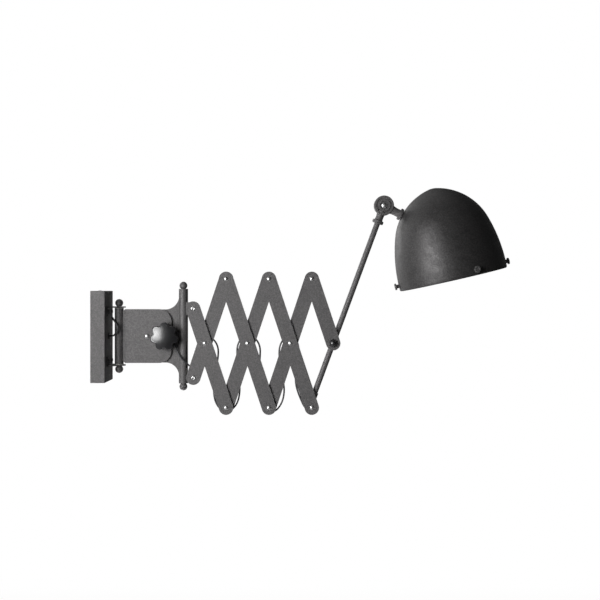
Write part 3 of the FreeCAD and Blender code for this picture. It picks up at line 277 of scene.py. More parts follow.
@dataclass(frozen=True)
class GroundSteel:
    """Bare steel, plated or polished, with fine random scratches."""

    name: str
    dark: tuple
    light: tuple
    rough: float
    scratch_mm: float = 0.5
    scratch_lay: tuple = (1.0, 0.25, 0.12)

    def make(self) -> bpy.types.Material:
        """Build the material: thin streaks change the tone and the roughness."""
        g = Graph(self.name)
        streaks = g.noise(self.scratch_mm, 3.0, 0.7, g.stretched(self.scratch_lay))
        cloud = g.noise(5.0, 3.0)
        g.set(Base_Color=g.blend(streaks * 0.6 + cloud * 0.4, self.dark, self.light), Metallic=1.0)
        g.set(Roughness=g.ramp(streaks, [(0.3, self.rough * 0.8), (0.7, self.rough * 1.35)]))
        g.bump(streaks, 0.02, 0.25)
        return g.material


@dataclass(frozen=True)
class GlossBlack:
    """Pressed black phenolic, polished, with dust and faint handling marks."""

    name: str = "gloss_black"
    base: tuple = (0.008, 0.008, 0.009)
    dust: tuple = (0.030, 0.030, 0.032)

    def make(self) -> bpy.types.Material:
        """Build the material: a clear-coated black with a soft ripple."""
        g = Graph(self.name)
        ripple = g.noise(9.0, 2.0)
        specks = g.noise(0.9, 2.0).above(0.72, 0.05)
        g.set(Base_Color=g.blend(specks, self.base, self.dust))
        g.set(Roughness=g.ramp(ripple, [(0.3, 0.32), (0.7, 0.40)]))
        g.set(Coat_Weight=1.0, Coat_Roughness=0.24)
        g.bump(ripple, 0.12, 0.2)
        return g.material


@dataclass(frozen=True)
class Moulded:
    """Moulded rubber or plastic with a fine satin skin."""

    name: str
    dark: tuple
    light: tuple
    rough: float
    grain_mm: float = 0.6
    depth_mm: float = 0.03

    def make(self) -> bpy.types.Material:
        """Build the material: slow tone changes, fine grain and matt rub marks."""
        g = Graph(self.name)
        cloud = g.noise(7.0, 4.0, 0.6)
        grain = g.noise(self.grain_mm, 2.0)
        rubbed = g.noise(4.0, 5.0, 0.75).above(0.62, 0.1)
        g.set(Base_Color=g.blend(cloud * 0.6 + grain * 0.4, self.dark, self.light))
        g.set(Roughness=rubbed * 0.14 + (self.rough - 0.04))
        g.bump(grain, self.depth_mm, 0.4)
        return g.material


@dataclass(frozen=True)
class Enamel:
    """The shade's inside: pale satin enamel with a slight orange peel."""

    name: str = "shade_enamel"
    dark: tuple = (0.62, 0.62, 0.60)
    light: tuple = (0.76, 0.76, 0.73)

    def make(self) -> bpy.types.Material:
        """Build the material: near-white, a little yellowed in clouds."""
        g = Graph(self.name)
        cloud = g.noise(22.0, 4.0, 0.6)
        peel = g.noise(1.6, 1.0)
        g.set(Base_Color=g.blend(cloud, self.dark, self.light))
        g.set(Roughness=g.ramp(cloud, [(0.2, 0.30), (0.8, 0.42)]))
        g.bump(peel, 0.05, 0.25)
        return g.material


@dataclass(frozen=True)
class OpalGlass:
    """The bulb's inside-frosted glass."""

    name: str = "opal_glass"

    def make(self) -> bpy.types.Material:
        """Build the material: milky white under a glossy skin."""
        g = Graph(self.name)
        cloud = g.noise(12.0, 2.0)
        g.set(Base_Color=g.blend(cloud, (0.82, 0.82, 0.80), (0.92, 0.92, 0.90)))
        g.set(Roughness=g.ramp(cloud, [(0.2, 0.10), (0.8, 0.18)]))
        g.set(Subsurface_Weight=0.2, Subsurface_Radius=(0.004, 0.004, 0.004), Coat_Weight=0.5)
        return g.material


class Slot(Enum):
    """The record's material slots that new pieces take their finish from."""

    POWDER = "powder_coat"
    SHADE = "coated_aluminium"
    BRIGHT = "bright_steel"
    POLISHED = "polished_steel"
    BLACK = "black_gloss"
    BRASS = "brass"
    NYLON = "nylon"
    RUBBER = "rubber"
    CABLE = "cable_jacket"
    BAKELITE = "bakelite"
    GLASS = "opal_glass"


class Finishes:
    """Every finish of the lamp, made once."""

    def __init__(self) -> None:
        """Build the materials."""
        kinds = {
            Slot.POWDER: PowderCoat(),
            # The dome's coat is the arm's powder coat with darker colours: the darkening is painted shade.
            Slot.SHADE: PowderCoat("dome_coat_with_painted_shade", (0.041, 0.040, 0.040), (0.104, 0.101, 0.102),
                                   rough=0.48, metal=0.62),
            Slot.BRIGHT: GroundSteel("zinc_steel", (0.46, 0.46, 0.47), (0.70, 0.70, 0.69), 0.36),
            Slot.POLISHED: GroundSteel("polished_steel", (0.60, 0.60, 0.61), (0.84, 0.84, 0.83), 0.34),
            Slot.BLACK: GlossBlack(),
            Slot.BRASS: GroundSteel("brass", (0.52, 0.37, 0.15), (0.75, 0.57, 0.27), 0.28),
            Slot.NYLON: Moulded("nylon", (0.60, 0.59, 0.54), (0.72, 0.71, 0.66), 0.42),
            Slot.RUBBER: Moulded("rubber", (0.018, 0.018, 0.018), (0.034, 0.034, 0.034), 0.62),
            Slot.CABLE: Moulded("cable_jacket", (0.022, 0.022, 0.024), (0.045, 0.045, 0.048), 0.42,
                                grain_mm=0.9, depth_mm=0.04),
            Slot.BAKELITE: Moulded("black_plastic", (0.016, 0.016, 0.017), (0.032, 0.032, 0.034), 0.34),
            Slot.GLASS: OpalGlass(),
        }
        self.by_slot = {slot: kind.make() for slot, kind in kinds.items()}
        self.enamel = Enamel().make()

    def dress(self, piece: bpy.types.Object, slot: Slot) -> None:
        """Give a piece one finish, in place of whatever it had."""
        if len(piece.data.materials):
            piece.data.materials.clear()
        piece.data.materials.append(self.by_slot[slot])


# ---- meshes from formulas -------------------------------------------------------------
@dataclass
class Stock:
    """Points and faces of one piece while its surfaces are added to it."""

    points: list = field(default_factory=list)
    faces: list = field(default_factory=list)
    marks: np.ndarray | None = None
    count: int = 0

    def add(self, points: np.ndarray, faces: list[np.ndarray]) -> "Stock":
        """Add one closed surface, turned so that its faces point outwards: its signed volume is positive.

        Args:
            points: an array of points in millimetres.
            faces: arrays of triangles or quads, each row one face.

        Returns:
            The stock.
        """
        volume = 0.0
        for block in faces:
            corners = points[block]
            for i in range(1, block.shape[1] - 1):
                volume += float(np.sum(corners[:, 0] * np.cross(corners[:, i], corners[:, i + 1])))
        for block in faces:
            turned = block if volume > 0 else block[:, ::-1]
            self.faces.extend((turned + self.count).tolist())
        self.points.append(points)
        self.count += len(points)
        return self

    def skin(self, grid: np.ndarray) -> "Stock":
        """Add a skin of rings whose first and last ring close on their middle points.

        Args:
            grid: rings x points x 3, in millimetres.

        Returns:
            The stock.
        """
        rows, columns, _ = grid.shape
        points = np.vstack([grid.reshape(-1, 3), grid[0].mean(axis=0), grid[-1].mean(axis=0)])
        c = np.arange(columns)
        nc = (c + 1) % columns
        base = (rows - 1) * columns
        first = np.stack([nc, c, np.full(columns, rows * columns)], axis=-1)
        last = np.stack([base + c, base + nc, np.full(columns, rows * columns + 1)], axis=-1)
        return self.add(points, [ring_faces(rows, columns), first, last])

    def piece(self, name: str, smooth_deg: float) -> bpy.types.Object:
        """Make the object.

        Args:
            name: the object's name.
            smooth_deg: the angle between faces above which an edge stays sharp.

        Returns:
            The object.
        """
        mesh = bpy.data.meshes.new(name)
        mesh.from_pydata((np.vstack(self.points) * MM).tolist(), [], self.faces)
        if self.marks is not None:
            mesh.polygons.foreach_set("material_index", self.marks)
        mesh.update()
        mesh.shade_smooth()
        mesh.set_sharp_from_angle(angle=math.radians(smooth_deg))
        made = bpy.data.objects.new(name, mesh)
        bpy.context.scene.collection.objects.link(made)
        LOG.info("%s: %d points, %d faces", name, len(mesh.vertices), len(mesh.polygons))
        return made


def unit(vector: np.ndarray) -> np.ndarray:
    """A vector of length one."""
    return vector / np.linalg.norm(vector)


def across(axis: np.ndarray) -> tuple[np.ndarray, np.ndarray]:
    """Two directions square to an axis and to each other."""
    side = np.cross(axis, [0.0, 1.0, 0.0])
    if np.linalg.norm(side) < 0.1:
        side = np.cross(axis, [0.0, 0.0, 1.0])
    side = unit(side)
    return side, np.cross(axis, side)


def full_turn(columns: int) -> np.ndarray:
    """Angles spaced evenly round a circle, in radians."""
    return np.linspace(0.0, 2 * np.pi, columns, endpoint=False)


def spokes(axis: np.ndarray, columns: int) -> np.ndarray:
    """Directions spaced evenly round an axis: side cos t + other sin t."""
    side, other = across(axis)
    turn = full_turn(columns)[:, None]
    return np.cos(turn) * side + np.sin(turn) * other


def ring_faces(rows: int, columns: int, close_rows: bool = False) -> np.ndarray:
    """Quads of a grid of points that closes round its columns.

    Args:
        rows: how many rings of points.
        columns: how many points in each ring.
        close_rows: whether the last ring joins the first.

    Returns:
        One row of four point numbers for each face.
    """
    r = np.arange(rows if close_rows else rows - 1)
    c = np.arange(columns)
    rr, cc = np.meshgrid(r, c, indexing="ij")
    nr, nc = (rr + 1) % rows, (cc + 1) % columns
    quads = np.stack([rr * columns + cc, rr * columns + nc, nr * columns + nc, nr * columns + cc], axis=-1)
    return quads.reshape(-1, 4)


def turned_grid(profile: np.ndarray, origin: np.ndarray, axis: np.ndarray, columns: int,
                wave: np.ndarray | None = None) -> np.ndarray:
    """Points of a profile turned about an axis: origin + axis a + r (side cos t + other sin t).

    Args:
        profile: rows of (distance along the axis, radius) in millimetres.
        origin: a point on the axis.
        axis: the axis.
        columns: points round the axis.
        wave: an optional rings x columns array that is added to the radius.

    Returns:
        rings x columns x 3.
    """
    axis = unit(np.asarray(axis, float))
    radius = np.repeat(profile[:, 1:2], columns, axis=1)
    if wave is not None:
        radius = radius + wave
    return origin + profile[:, None, :1] * axis + radius[:, :, None] * spokes(axis, columns)


def rounded(corners: list[tuple[float, float, float]], steps: int = 5) -> np.ndarray:
    """A profile with round corners: each corner (a, r, fillet) becomes an arc cut from its two runs.

    Args:
        corners: distance along the axis, radius and fillet of each corner.
        steps: points in each arc.

    Returns:
        Rows of (distance, radius).
    """
    spots = np.array([c[:2] for c in corners], float)
    line = [spots[0]]
    for i in range(1, len(corners) - 1):
        here, fillet = spots[i], corners[i][2]
        back, ahead = spots[i - 1] - here, spots[i + 1] - here
        reach = min(fillet, 0.49 * np.linalg.norm(back), 0.49 * np.linalg.norm(ahead))
        if reach < 1e-4:
            line.append(here)
            continue
        t = np.linspace(0.0, 1.0, steps)[:, None]
        first, second = here + unit(back) * reach, here + unit(ahead) * reach
        line.extend((1 - t) ** 2 * first + 2 * t * (1 - t) * here + t ** 2 * second)
    line.append(spots[-1])
    return np.array(line)


def arc(centre: tuple[float, float], radius: float, start: float, end: float, steps: int) -> np.ndarray:
    """Points (a, r) of an arc: a = centre a + radius cos t, r = centre r + radius sin t, t in degrees."""
    t = np.radians(np.linspace(start, end, steps))
    return np.stack([centre[0] + radius * np.cos(t), centre[1] + radius * np.sin(t)], axis=-1)


def crown(tip: float, base: float, radius: float, steps: int = 10) -> np.ndarray:
    """A dome's profile, as an arc of one circle: (tip + big (1 - cos t), big sin t).

    Args:
        tip: where the dome meets the axis.
        base: where its base circle is along the axis.
        radius: the base circle's radius.
        steps: points in the arc.

    Returns:
        Rows of (distance, radius).
    """
    rise = base - tip
    big = (radius ** 2 + rise ** 2) / (2 * abs(rise))
    t = np.linspace(0.0, math.asin(min(1.0, radius / big)), steps)
    return np.stack([tip + math.copysign(1.0, rise) * big * (1 - np.cos(t)), big * np.sin(t)], axis=-1)


# ---- sizes shared with the CAD --------------------------------------------------------
@dataclass(frozen=True)
class Layout:
    """Where the arm's pins, rod, swivel and shade are, from the sizes that set them."""

    lean: float = 18.4
    short_arm: float = 63.5
    long_arm: float = 118.0
    crossing_z: float = -12.0
    first_pin_x: float = 173.6
    cells: int = 3
    rod_lean: float = 20.3
    rod_y: float = -3.6
    rod_to_swivel: float = 255.7
    arm_below: float = 27.9
    arm_reach: float = 35.7
    shade_tilt: float = 13.0

    def pin(self, x: float, z: float) -> np.ndarray:
        """A point in the links' plane."""
        return np.array([x, 0.0, z])

    def slope(self) -> tuple[float, float]:
        """Sine and cosine of the links' lean."""
        return math.sin(math.radians(self.lean)), math.cos(math.radians(self.lean))

    def guide_pin(self, up: float) -> np.ndarray:
        """A pin on the guide tube: up is 1 for the fixed one and -1 for the sliding one."""
        return self.pin(self.first_pin_x, self.crossing_z + up * self.short_arm * self.slope()[1])

    def crossing(self, i: int) -> np.ndarray:
        """The crossing of cell i."""
        s, _ = self.slope()
        return self.pin(self.first_pin_x + self.short_arm * s + i * 2 * self.long_arm * s, self.crossing_z)

    def joint(self, i: int, up: float) -> np.ndarray:
        """A joint after cell i: up is 1 for the upper one and -1 for the lower one."""
        s, c = self.slope()
        return self.crossing(i) + self.pin(self.long_arm * s, up * self.long_arm * c)

    def rod_up(self) -> np.ndarray:
        """The rod's direction."""
        t = math.radians(self.rod_lean)
        return np.array([math.sin(t), 0.0, math.cos(t)])

    def rod_foot(self) -> np.ndarray:
        """The place on the rod's axis at the last crossing."""
        return self.crossing(self.cells) + np.array([0.0, self.rod_y, 0.0])

    def swivel(self) -> np.ndarray:
        """The middle of the swivel."""
        return self.rod_foot() + self.rod_up() * self.rod_to_swivel

    def arm(self) -> np.ndarray:
        """The direction from the swivel into the shade."""
        t = math.radians(self.arm_below)
        return np.array([math.cos(t), 0.0, -math.sin(t)])

    def shade_up(self) -> np.ndarray:
        """The shade's axis."""
        t = math.radians(self.shade_tilt)
        return np.array([-math.sin(t), 0.0, math.cos(t)])

    def shade_side(self) -> np.ndarray:
        """The shade's sideways direction, away from the wall."""
        t = math.radians(self.shade_tilt)
        return np.array([math.cos(t), 0.0, math.sin(t)])


BACK = np.array([0.0, 1.0, 0.0])
# Where the layers of links and lugs start and end, from front to back.
FRONT_FACE_Y = -13.6
REAR_FACE_Y = -9.8
REAR_BACK_Y = -6.8
LUG_BACK_Y = -3.0


# ---- sub-assemblies -------------------------------------------------------------------
@dataclass
class Assembly:
    """A sub-assembly: the finishes that dress its pieces and the layout that places them."""

    finishes: Finishes
    layout: Layout = field(default_factory=Layout)

    def fit(self, stock: Stock, name: str, slot: Slot, node: str | None = None,
            body: str | None = None, smooth_deg: float = 42.0) -> bpy.types.Object:
        """Make a piece from its stock, dress it, hide the CAD node that it stands for, and put it on its
        body.

        Args:
            stock: the piece's surfaces.
            name: the piece's name.
            slot: the material slot that it takes its finish from.
            node: the CAD node that it stands for, if any.
            body: the body that it rides on, if any.
            smooth_deg: the angle between faces above which an edge stays sharp.

        Returns:
            The piece.
        """
        piece = stock.piece(name, smooth_deg)
        self.finishes.dress(piece, slot)
        if node:
            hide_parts(node)
        if body:
            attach(piece, body)
        return piece


# ---- cable ----------------------------------------------------------------------------
@dataclass
class Cable(Assembly):
    """The 3 mm cable: one smooth route in three stretches, cut where a stretch changes body."""

    radius: float = 1.5
    sides: int = 20
    curve_steps: int = 12
    hole: tuple = (143.6, 2.0, -8.0)
    depth: float = -3.6
    rod_end: float = 108.0
    into_rod: tuple = (-5.5, 5.0)

    def hinge_route(self) -> list[tuple[float, float, float]]:
        """From the terminal block, out of the box and round the wall hinge to the clip."""
        return [(9, 0, 24), (9, 0, 0), (32.5, 0, 0), (37, -11, 3), (45, -14, 11), (40, -13.5, 23),
                (32, -8, 32), (30.5, 2, 33), (33, 11, 26), (40, 14, 16), (50, 9, 7), (64, 9, 7)]

    def arm_route(self) -> list[tuple[float, float, float]]:
        """From the clip along the backs of the plates to the hole in the tilting plate."""
        return [(64, 9, 7), (80, 9, 7), (98, 9.5, -6), (115, 11, -18), (132, 12.5, -18.5),
                (143.6, 12, -8), self.hole]

    def scissor_route(self) -> list[tuple[float, float, float]]:
        """From the hole, behind the lower lug and in waves behind the links into the rod's foot."""
        front = [self.hole, (143.6, -6, -8), (142.8, -8.5, -21), (150, -11, -35), (161, -11, -46),
                 (167, self.depth, -52.5)]
        wave = [(176, -55.5), (183.5, -43), (181.8, -26), (184.5, -8), (193.5, 1.5), (207.5, -4),
                (216.8, -18), (216.5, -38), (212, -60), (209, -82), (208.5, -104), (214.5, -122),
                (226, -131), (239, -130), (250, -118), (254.5, -99), (254, -77), (252, -56),
                (249.5, -36), (249.3, -18), (256, -3), (268, 2.5), (281.5, -3), (290, -17.5),
                (289.8, -37), (287.5, -58), (286, -80), (287, -101), (292, -120), (303, -132.5),
                (317, -131.5), (328, -117), (332.3, -98), (330.5, -79), (326, -59), (323, -38),
                (323, -19), (330.5, -4), (342.5, 1.5), (353, -5.5), (358, -21), (356, -42),
                (351.5, -62), (351.5, -83), (356, -99), (362, -113.5), (367.2, -124.5), (374.6, -126)]
        up = self.layout.rod_up()
        foot = self.layout.rod_foot() - up * self.rod_end
        ends = [tuple(foot + up * along) for along in self.into_rod]
        return front + [(x, self.depth, z) for x, z in wave] + ends

    def line(self, route: list[tuple[float, float, float]]) -> np.ndarray:
        """Points of the smooth curve whose control points are the route.

        Args:
            route: control points in millimetres.

        Returns:
            Points in millimetres, one after the other.
        """
        curve = bpy.data.curves.new("cable_line", "CURVE")
        curve.dimensions = "3D"
        spline = curve.splines.new("NURBS")
        spline.points.add(len(route) - 1)
        weighted = np.column_stack([np.array(route, float), np.ones(len(route))])
        spline.points.foreach_set("co", weighted.ravel())
        spline.order_u = 3
        spline.use_endpoint_u = True
        curve.resolution_u = self.curve_steps
        holder = bpy.data.objects.new("cable_line", curve)
        bpy.context.scene.collection.objects.link(holder)
        bpy.context.view_layer.update()
        mesh = bpy.data.meshes.new_from_object(holder)
        points = np.zeros(len(mesh.vertices) * 3)
        mesh.vertices.foreach_get("co", points)
        bpy.data.meshes.remove(mesh)
        bpy.data.objects.remove(holder)
        bpy.data.curves.remove(curve)
        return points.reshape(-1, 3)

    def tube(self, line: np.ndarray) -> Stock:
        """A round tube along a line: each ring lies square to the line, carried on without twist.

        Args:
            line: points in millimetres.

        Returns:
            The tube's closed surface.
        """
        line = line[np.concatenate([[True], np.linalg.norm(np.diff(line, axis=0), axis=1) > 1e-4])]
        tangent = np.gradient(line, axis=0)
        tangent /= np.linalg.norm(tangent, axis=1)[:, None]
        side = across(tangent[0])[0]
        carried = []
        for t in tangent:
            side = unit(side - t * float(side @ t))
            carried.append(side)
        first = np.array(carried)
        second = np.cross(tangent, first)
        turn = full_turn(self.sides)[None, :, None]
        ring = np.cos(turn) * first[:, None, :] + np.sin(turn) * second[:, None, :]
        return Stock().skin(line[:, None, :] + self.radius * ring)

    def lay(self, name: str, line: np.ndarray, node: str, bodies: tuple[str, str],
            start: tuple[float, float, float], end: tuple[float, float, float]) -> None:
        """Make one stretch.

        Args:
            name: the piece's name.
            line: points in millimetres.
            node: the CAD node that it stands for.
            bodies: not used.
            start: not used.
            end: not used.
        """
        piece = self.fit(self.tube(line), name, Slot.CABLE, node, smooth_deg=60.0)
        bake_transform(piece)

    def nearest(self, line: np.ndarray, x: float, z: float) -> int:
        """The number of the line's point nearest to a place in the links' plane."""
        return int(np.argmin(np.hypot(line[:, 0] - x, line[:, 2] - z)))

    def build(self) -> None:
        """Make the three stretches; the last is cut where it passes from link to link."""
        self.lay("hinge_cable", self.line(self.hinge_route()), "cable_hinge_loop",
                 ("wall", "swing_arm"), (0, 0, 0), (0, 9, 0))
        self.lay("arm_cable", self.line(self.arm_route()), "cable_arm_run",
                 ("swing_arm", "tilt_arm"), (84, 0, 0), (136, 0, 0))
        line = self.line(self.scissor_route())
        spans = [
            ("cable_to_crossing_1", (193.5, -1.0), ("tilt_arm", "front_1"), (145, 0, -16), (160, 0, -46)),
            ("cable_bottom_1", (251.5, -54.0), ("front_1", "rear_2"), (219, 0, 0), (245, 0, 0)),
            ("cable_crossing_2", (287.6, -58.0), ("rear_2", "front_2"), (257, 0, 0), (280, 0, 0)),
            ("cable_bottom_2", (326.0, -59.0), ("front_2", "rear_3"), (294, 0, 0), (318, 0, 0)),
            ("cable_crossing_3", (351.8, -62.0), ("rear_3", "front_3"), (331, 0, 0), (351, 0, 0)),
            ("cable_to_rod", None, ("front_3", "rod_arm"), (358, 0, 0), (374, 0, 0)),
        ]
        first = 0
        for name, cut, bodies, start, end in spans:
            last = self.nearest(line, *cut) if cut else len(line) - 1
            self.lay(name, line[first:last + 1], "cable_scissor_run", bodies, start, end)
            first = last


# ---- shade ----------------------------------------------------------------------------
@dataclass
class Shade(Assembly):
    """The spun dome, its thumb screws, the lamp holder and the bulb."""

    height: float = 161.0
    rim_r: float = 94.8
    wall: float = 1.2
    apex_r: float = 34.0
    shoulder_r: float = 101.3
    side_r: float = 273.7
    side_h: float = 9.2
    nipple_angle: float = 49.1
    holder_gap: float = 5.5
    bulb_gap: float = 21.0
    screw_turns: tuple = (-90.0, 16.0, 90.0, 196.0)
    screw_h: float = 8.0

    def centres(self) -> list[np.ndarray]:
        """Centres (height, radius) of the dome's apex, shoulder and side arcs, each tangent to the next."""
        apex = np.array([self.height - self.apex_r, 0.0])
        side = np.array([self.side_h, self.rim_r - self.side_r])
        gap = side - apex
        length = np.linalg.norm(gap)
        to_apex, to_side = self.shoulder_r - self.apex_r, self.side_r - self.shoulder_r
        along = (to_apex ** 2 - to_side ** 2 + length ** 2) / (2 * length)
        off = math.sqrt(to_apex ** 2 - along ** 2)
        u = gap / length
        shoulder = apex + u * along + np.array([u[1], -u[0]]) * off
        return [apex, shoulder, side]

    def outline(self, inset: float) -> np.ndarray:
        """The dome's profile from the rim to the apex.

        Args:
            inset: how far it is moved in.

        Returns:
            Rows of (height, radius).
        """
        apex, shoulder, side = self.centres()
        first = math.degrees(math.atan2(apex[1] - shoulder[1], apex[0] - shoulder[0]))
        second = math.degrees(math.atan2(shoulder[1] - side[1], shoulder[0] - side[0]))
        foot = 90 + math.degrees(math.asin(side[0] / (self.side_r - inset)))
        parts = [
            arc(side, self.side_r - inset, foot, second, 26),
            arc(shoulder, self.shoulder_r - inset, second, first, 26)[1:],
            arc(apex, self.apex_r - inset, first, 0.6, 8)[1:],
        ]
        return np.vstack(parts)

    def foot(self) -> np.ndarray:
        """The middle of the rim's plane."""
        shoulder = self.centres()[1]
        t = math.radians(self.nipple_angle)
        height = shoulder[0] + self.shoulder_r * math.cos(t)
        radius = shoulder[1] + self.shoulder_r * math.sin(t)
        lay = self.layout
        nipple = lay.swivel() + lay.arm() * lay.arm_reach
        return nipple - lay.shade_up() * height + lay.shade_side() * radius

    def on_arm(self, past: float = 0.0) -> np.ndarray:
        """A point on the holder's axis, a distance past the holder's back."""
        reach = self.layout.arm_reach + self.wall + self.holder_gap + past
        return self.layout.swivel() + self.layout.arm() * reach

    def dome(self) -> None:
        """The dome: outer profile up to the apex, inner profile down, and a rolled edge between them."""
        outer = self.outline(0.0)
        inner = self.outline(self.wall)
        edge = arc(tuple((outer[0] + inner[0]) / 2), self.wall / 2, 90, 270, 9)[1:-1]
        profile = np.vstack([outer[::-1], edge, inner])
        columns = 192
        stock = Stock().skin(turned_grid(profile, self.foot(), self.layout.shade_up(), columns))
        stock.marks = np.zeros(len(stock.faces), np.int32)
        lining = (len(outer) + len(edge) - 1) * columns
        walls = (len(profile) - 1) * columns
        stock.marks[lining:walls] = 1
        stock.marks[walls + columns:] = 1
        dome = self.fit(stock, "shade_dome", Slot.SHADE, "shade", "shade_head", 50.0)
        dome.data.materials.append(self.finishes.enamel)

    def thumb_screws(self) -> None:
        """Four thumb screws: round heads on plain necks, with a knurl of cos 24t round each rim."""
        skin = self.centres()[2][1] + math.sqrt(self.side_r ** 2 - (self.screw_h - self.side_h) ** 2)
        profile = rounded([(-5, 2, 0), (0.6, 2, 0.2), (0.7, 3.3, 0.3), (4.1, 3.3, 0.3), (4.3, 5.0, 0.3),
                           (4.8, 5.7, 0.4), (7.1, 5.7, 0.5), (7.6, 5.1, 0.5), (7.6, 2.9, 0.4),
                           (7.2, 2.4, 0.3), (7.2, 0.3, 0)])
        columns = 96
        rim = (profile[:, 1] > 5.45)[:, None]
        knurl = np.where(rim, 0.14 * np.cos(24 * full_turn(columns)) - 0.1, 0.0)
        stock = Stock()
        for degrees in self.screw_turns:
            t = math.radians(degrees)
            outward = self.layout.shade_side() * math.sin(t) - BACK * math.cos(t)
            place = self.foot() + self.layout.shade_up() * self.screw_h + outward * skin
            stock.skin(turned_grid(profile, place, outward, columns, knurl))
        self.fit(stock, "thumb_screws", Slot.POWDER, "rim_screws", "shade_head", 50.0)

    def holder(self) -> None:
        """The lamp holder: a cap with 36 grip grooves, and a skirt with a deep mouth."""
        profile = rounded([(0.2, 5.2, 0), (0, 9, 0.6), (3.6, 15, 1.5), (21.5, 15, 0.5), (22.2, 18.6, 0.6),
                           (26.0, 19, 0.8), (28.0, 17.6, 0.6), (51.6, 17.3, 0.5), (52.0, 16.6, 0.3),
                           (51.6, 15.9, 0.3), (44, 15.8, 0.4), (43, 13.7, 0.4), (20, 13.7, 1),
                           (19.8, 0.3, 0)], 6)
        columns = 144
        cap = ((profile[:, 0] > 5) & (profile[:, 0] < 21) & (profile[:, 1] > 14.5))[:, None]
        grooves = np.where(cap, -0.35 * np.maximum(0, np.cos(36 * full_turn(columns))), 0.0)
        stock = Stock().skin(turned_grid(profile, self.on_arm(), self.layout.arm(), columns, grooves))
        self.fit(stock, "holder_body", Slot.BAKELITE, "lamp_holder", "shade_head", 40.0)

    def lamp(self) -> None:
        """The bulb: a pear of opal glass on a threaded cap with an insulator."""
        origin, axis = self.on_arm(self.bulb_gap), self.layout.arm()
        t = np.linspace(0.0, 1.0, 60)
        neck = np.stack([28 + 40 * t, 13.2 + (28.6 - 13.2) * (3 * t ** 2 - 2 * t ** 3) ** 0.8], axis=-1)
        globe = arc((75.0, 0.0), 29.0, 104.0, 0.6, 36)
        pear = np.vstack([[28, 0.5], neck[neck[:, 1] < 27.6], globe])
        glass = Stock().skin(turned_grid(pear, origin, axis, 96))
        self.fit(glass, "bulb_glass", Slot.GLASS, "bulb", "shade_head", 60.0)
        rows, columns, pitch, low, high = 120, 64, 3.6, 5.0, 26.0
        along = np.linspace(low, high, rows)
        fade = np.clip(np.minimum(along - low, high - along) / 1.5, 0, 1)[:, None]
        thread = 0.55 * np.cos(2 * np.pi * along[:, None] / pitch - full_turn(columns)) * fade
        body = np.column_stack([along, np.full(rows, 12.5)])
        cap = np.vstack([[3.0, 10.5], [4.0, 12.0], body, [27.0, 12.9], [29.5, 13.25], [29.6, 12.6]])
        ripple = np.vstack([np.zeros((2, columns)), thread, np.zeros((3, columns))])
        threaded = Stock().skin(turned_grid(cap, origin, axis, columns, ripple))
        self.fit(threaded, "bulb_cap", Slot.BRIGHT, None, "shade_head", 50.0)
        base = rounded([(3.2, 10.2, 0), (2.0, 9.6, 1), (0.9, 5, 1), (0.6, 0.4, 0)])
        insulator = Stock().skin(turned_grid(base, origin, axis, 48))
        self.fit(insulator, "bulb_insulator", Slot.BAKELITE, None, "shade_head", 40.0)

    def build(self) -> None:
        """Make the shade's pieces."""
        self.dome()
        self.thumb_screws()
        self.holder()
        self.lamp()


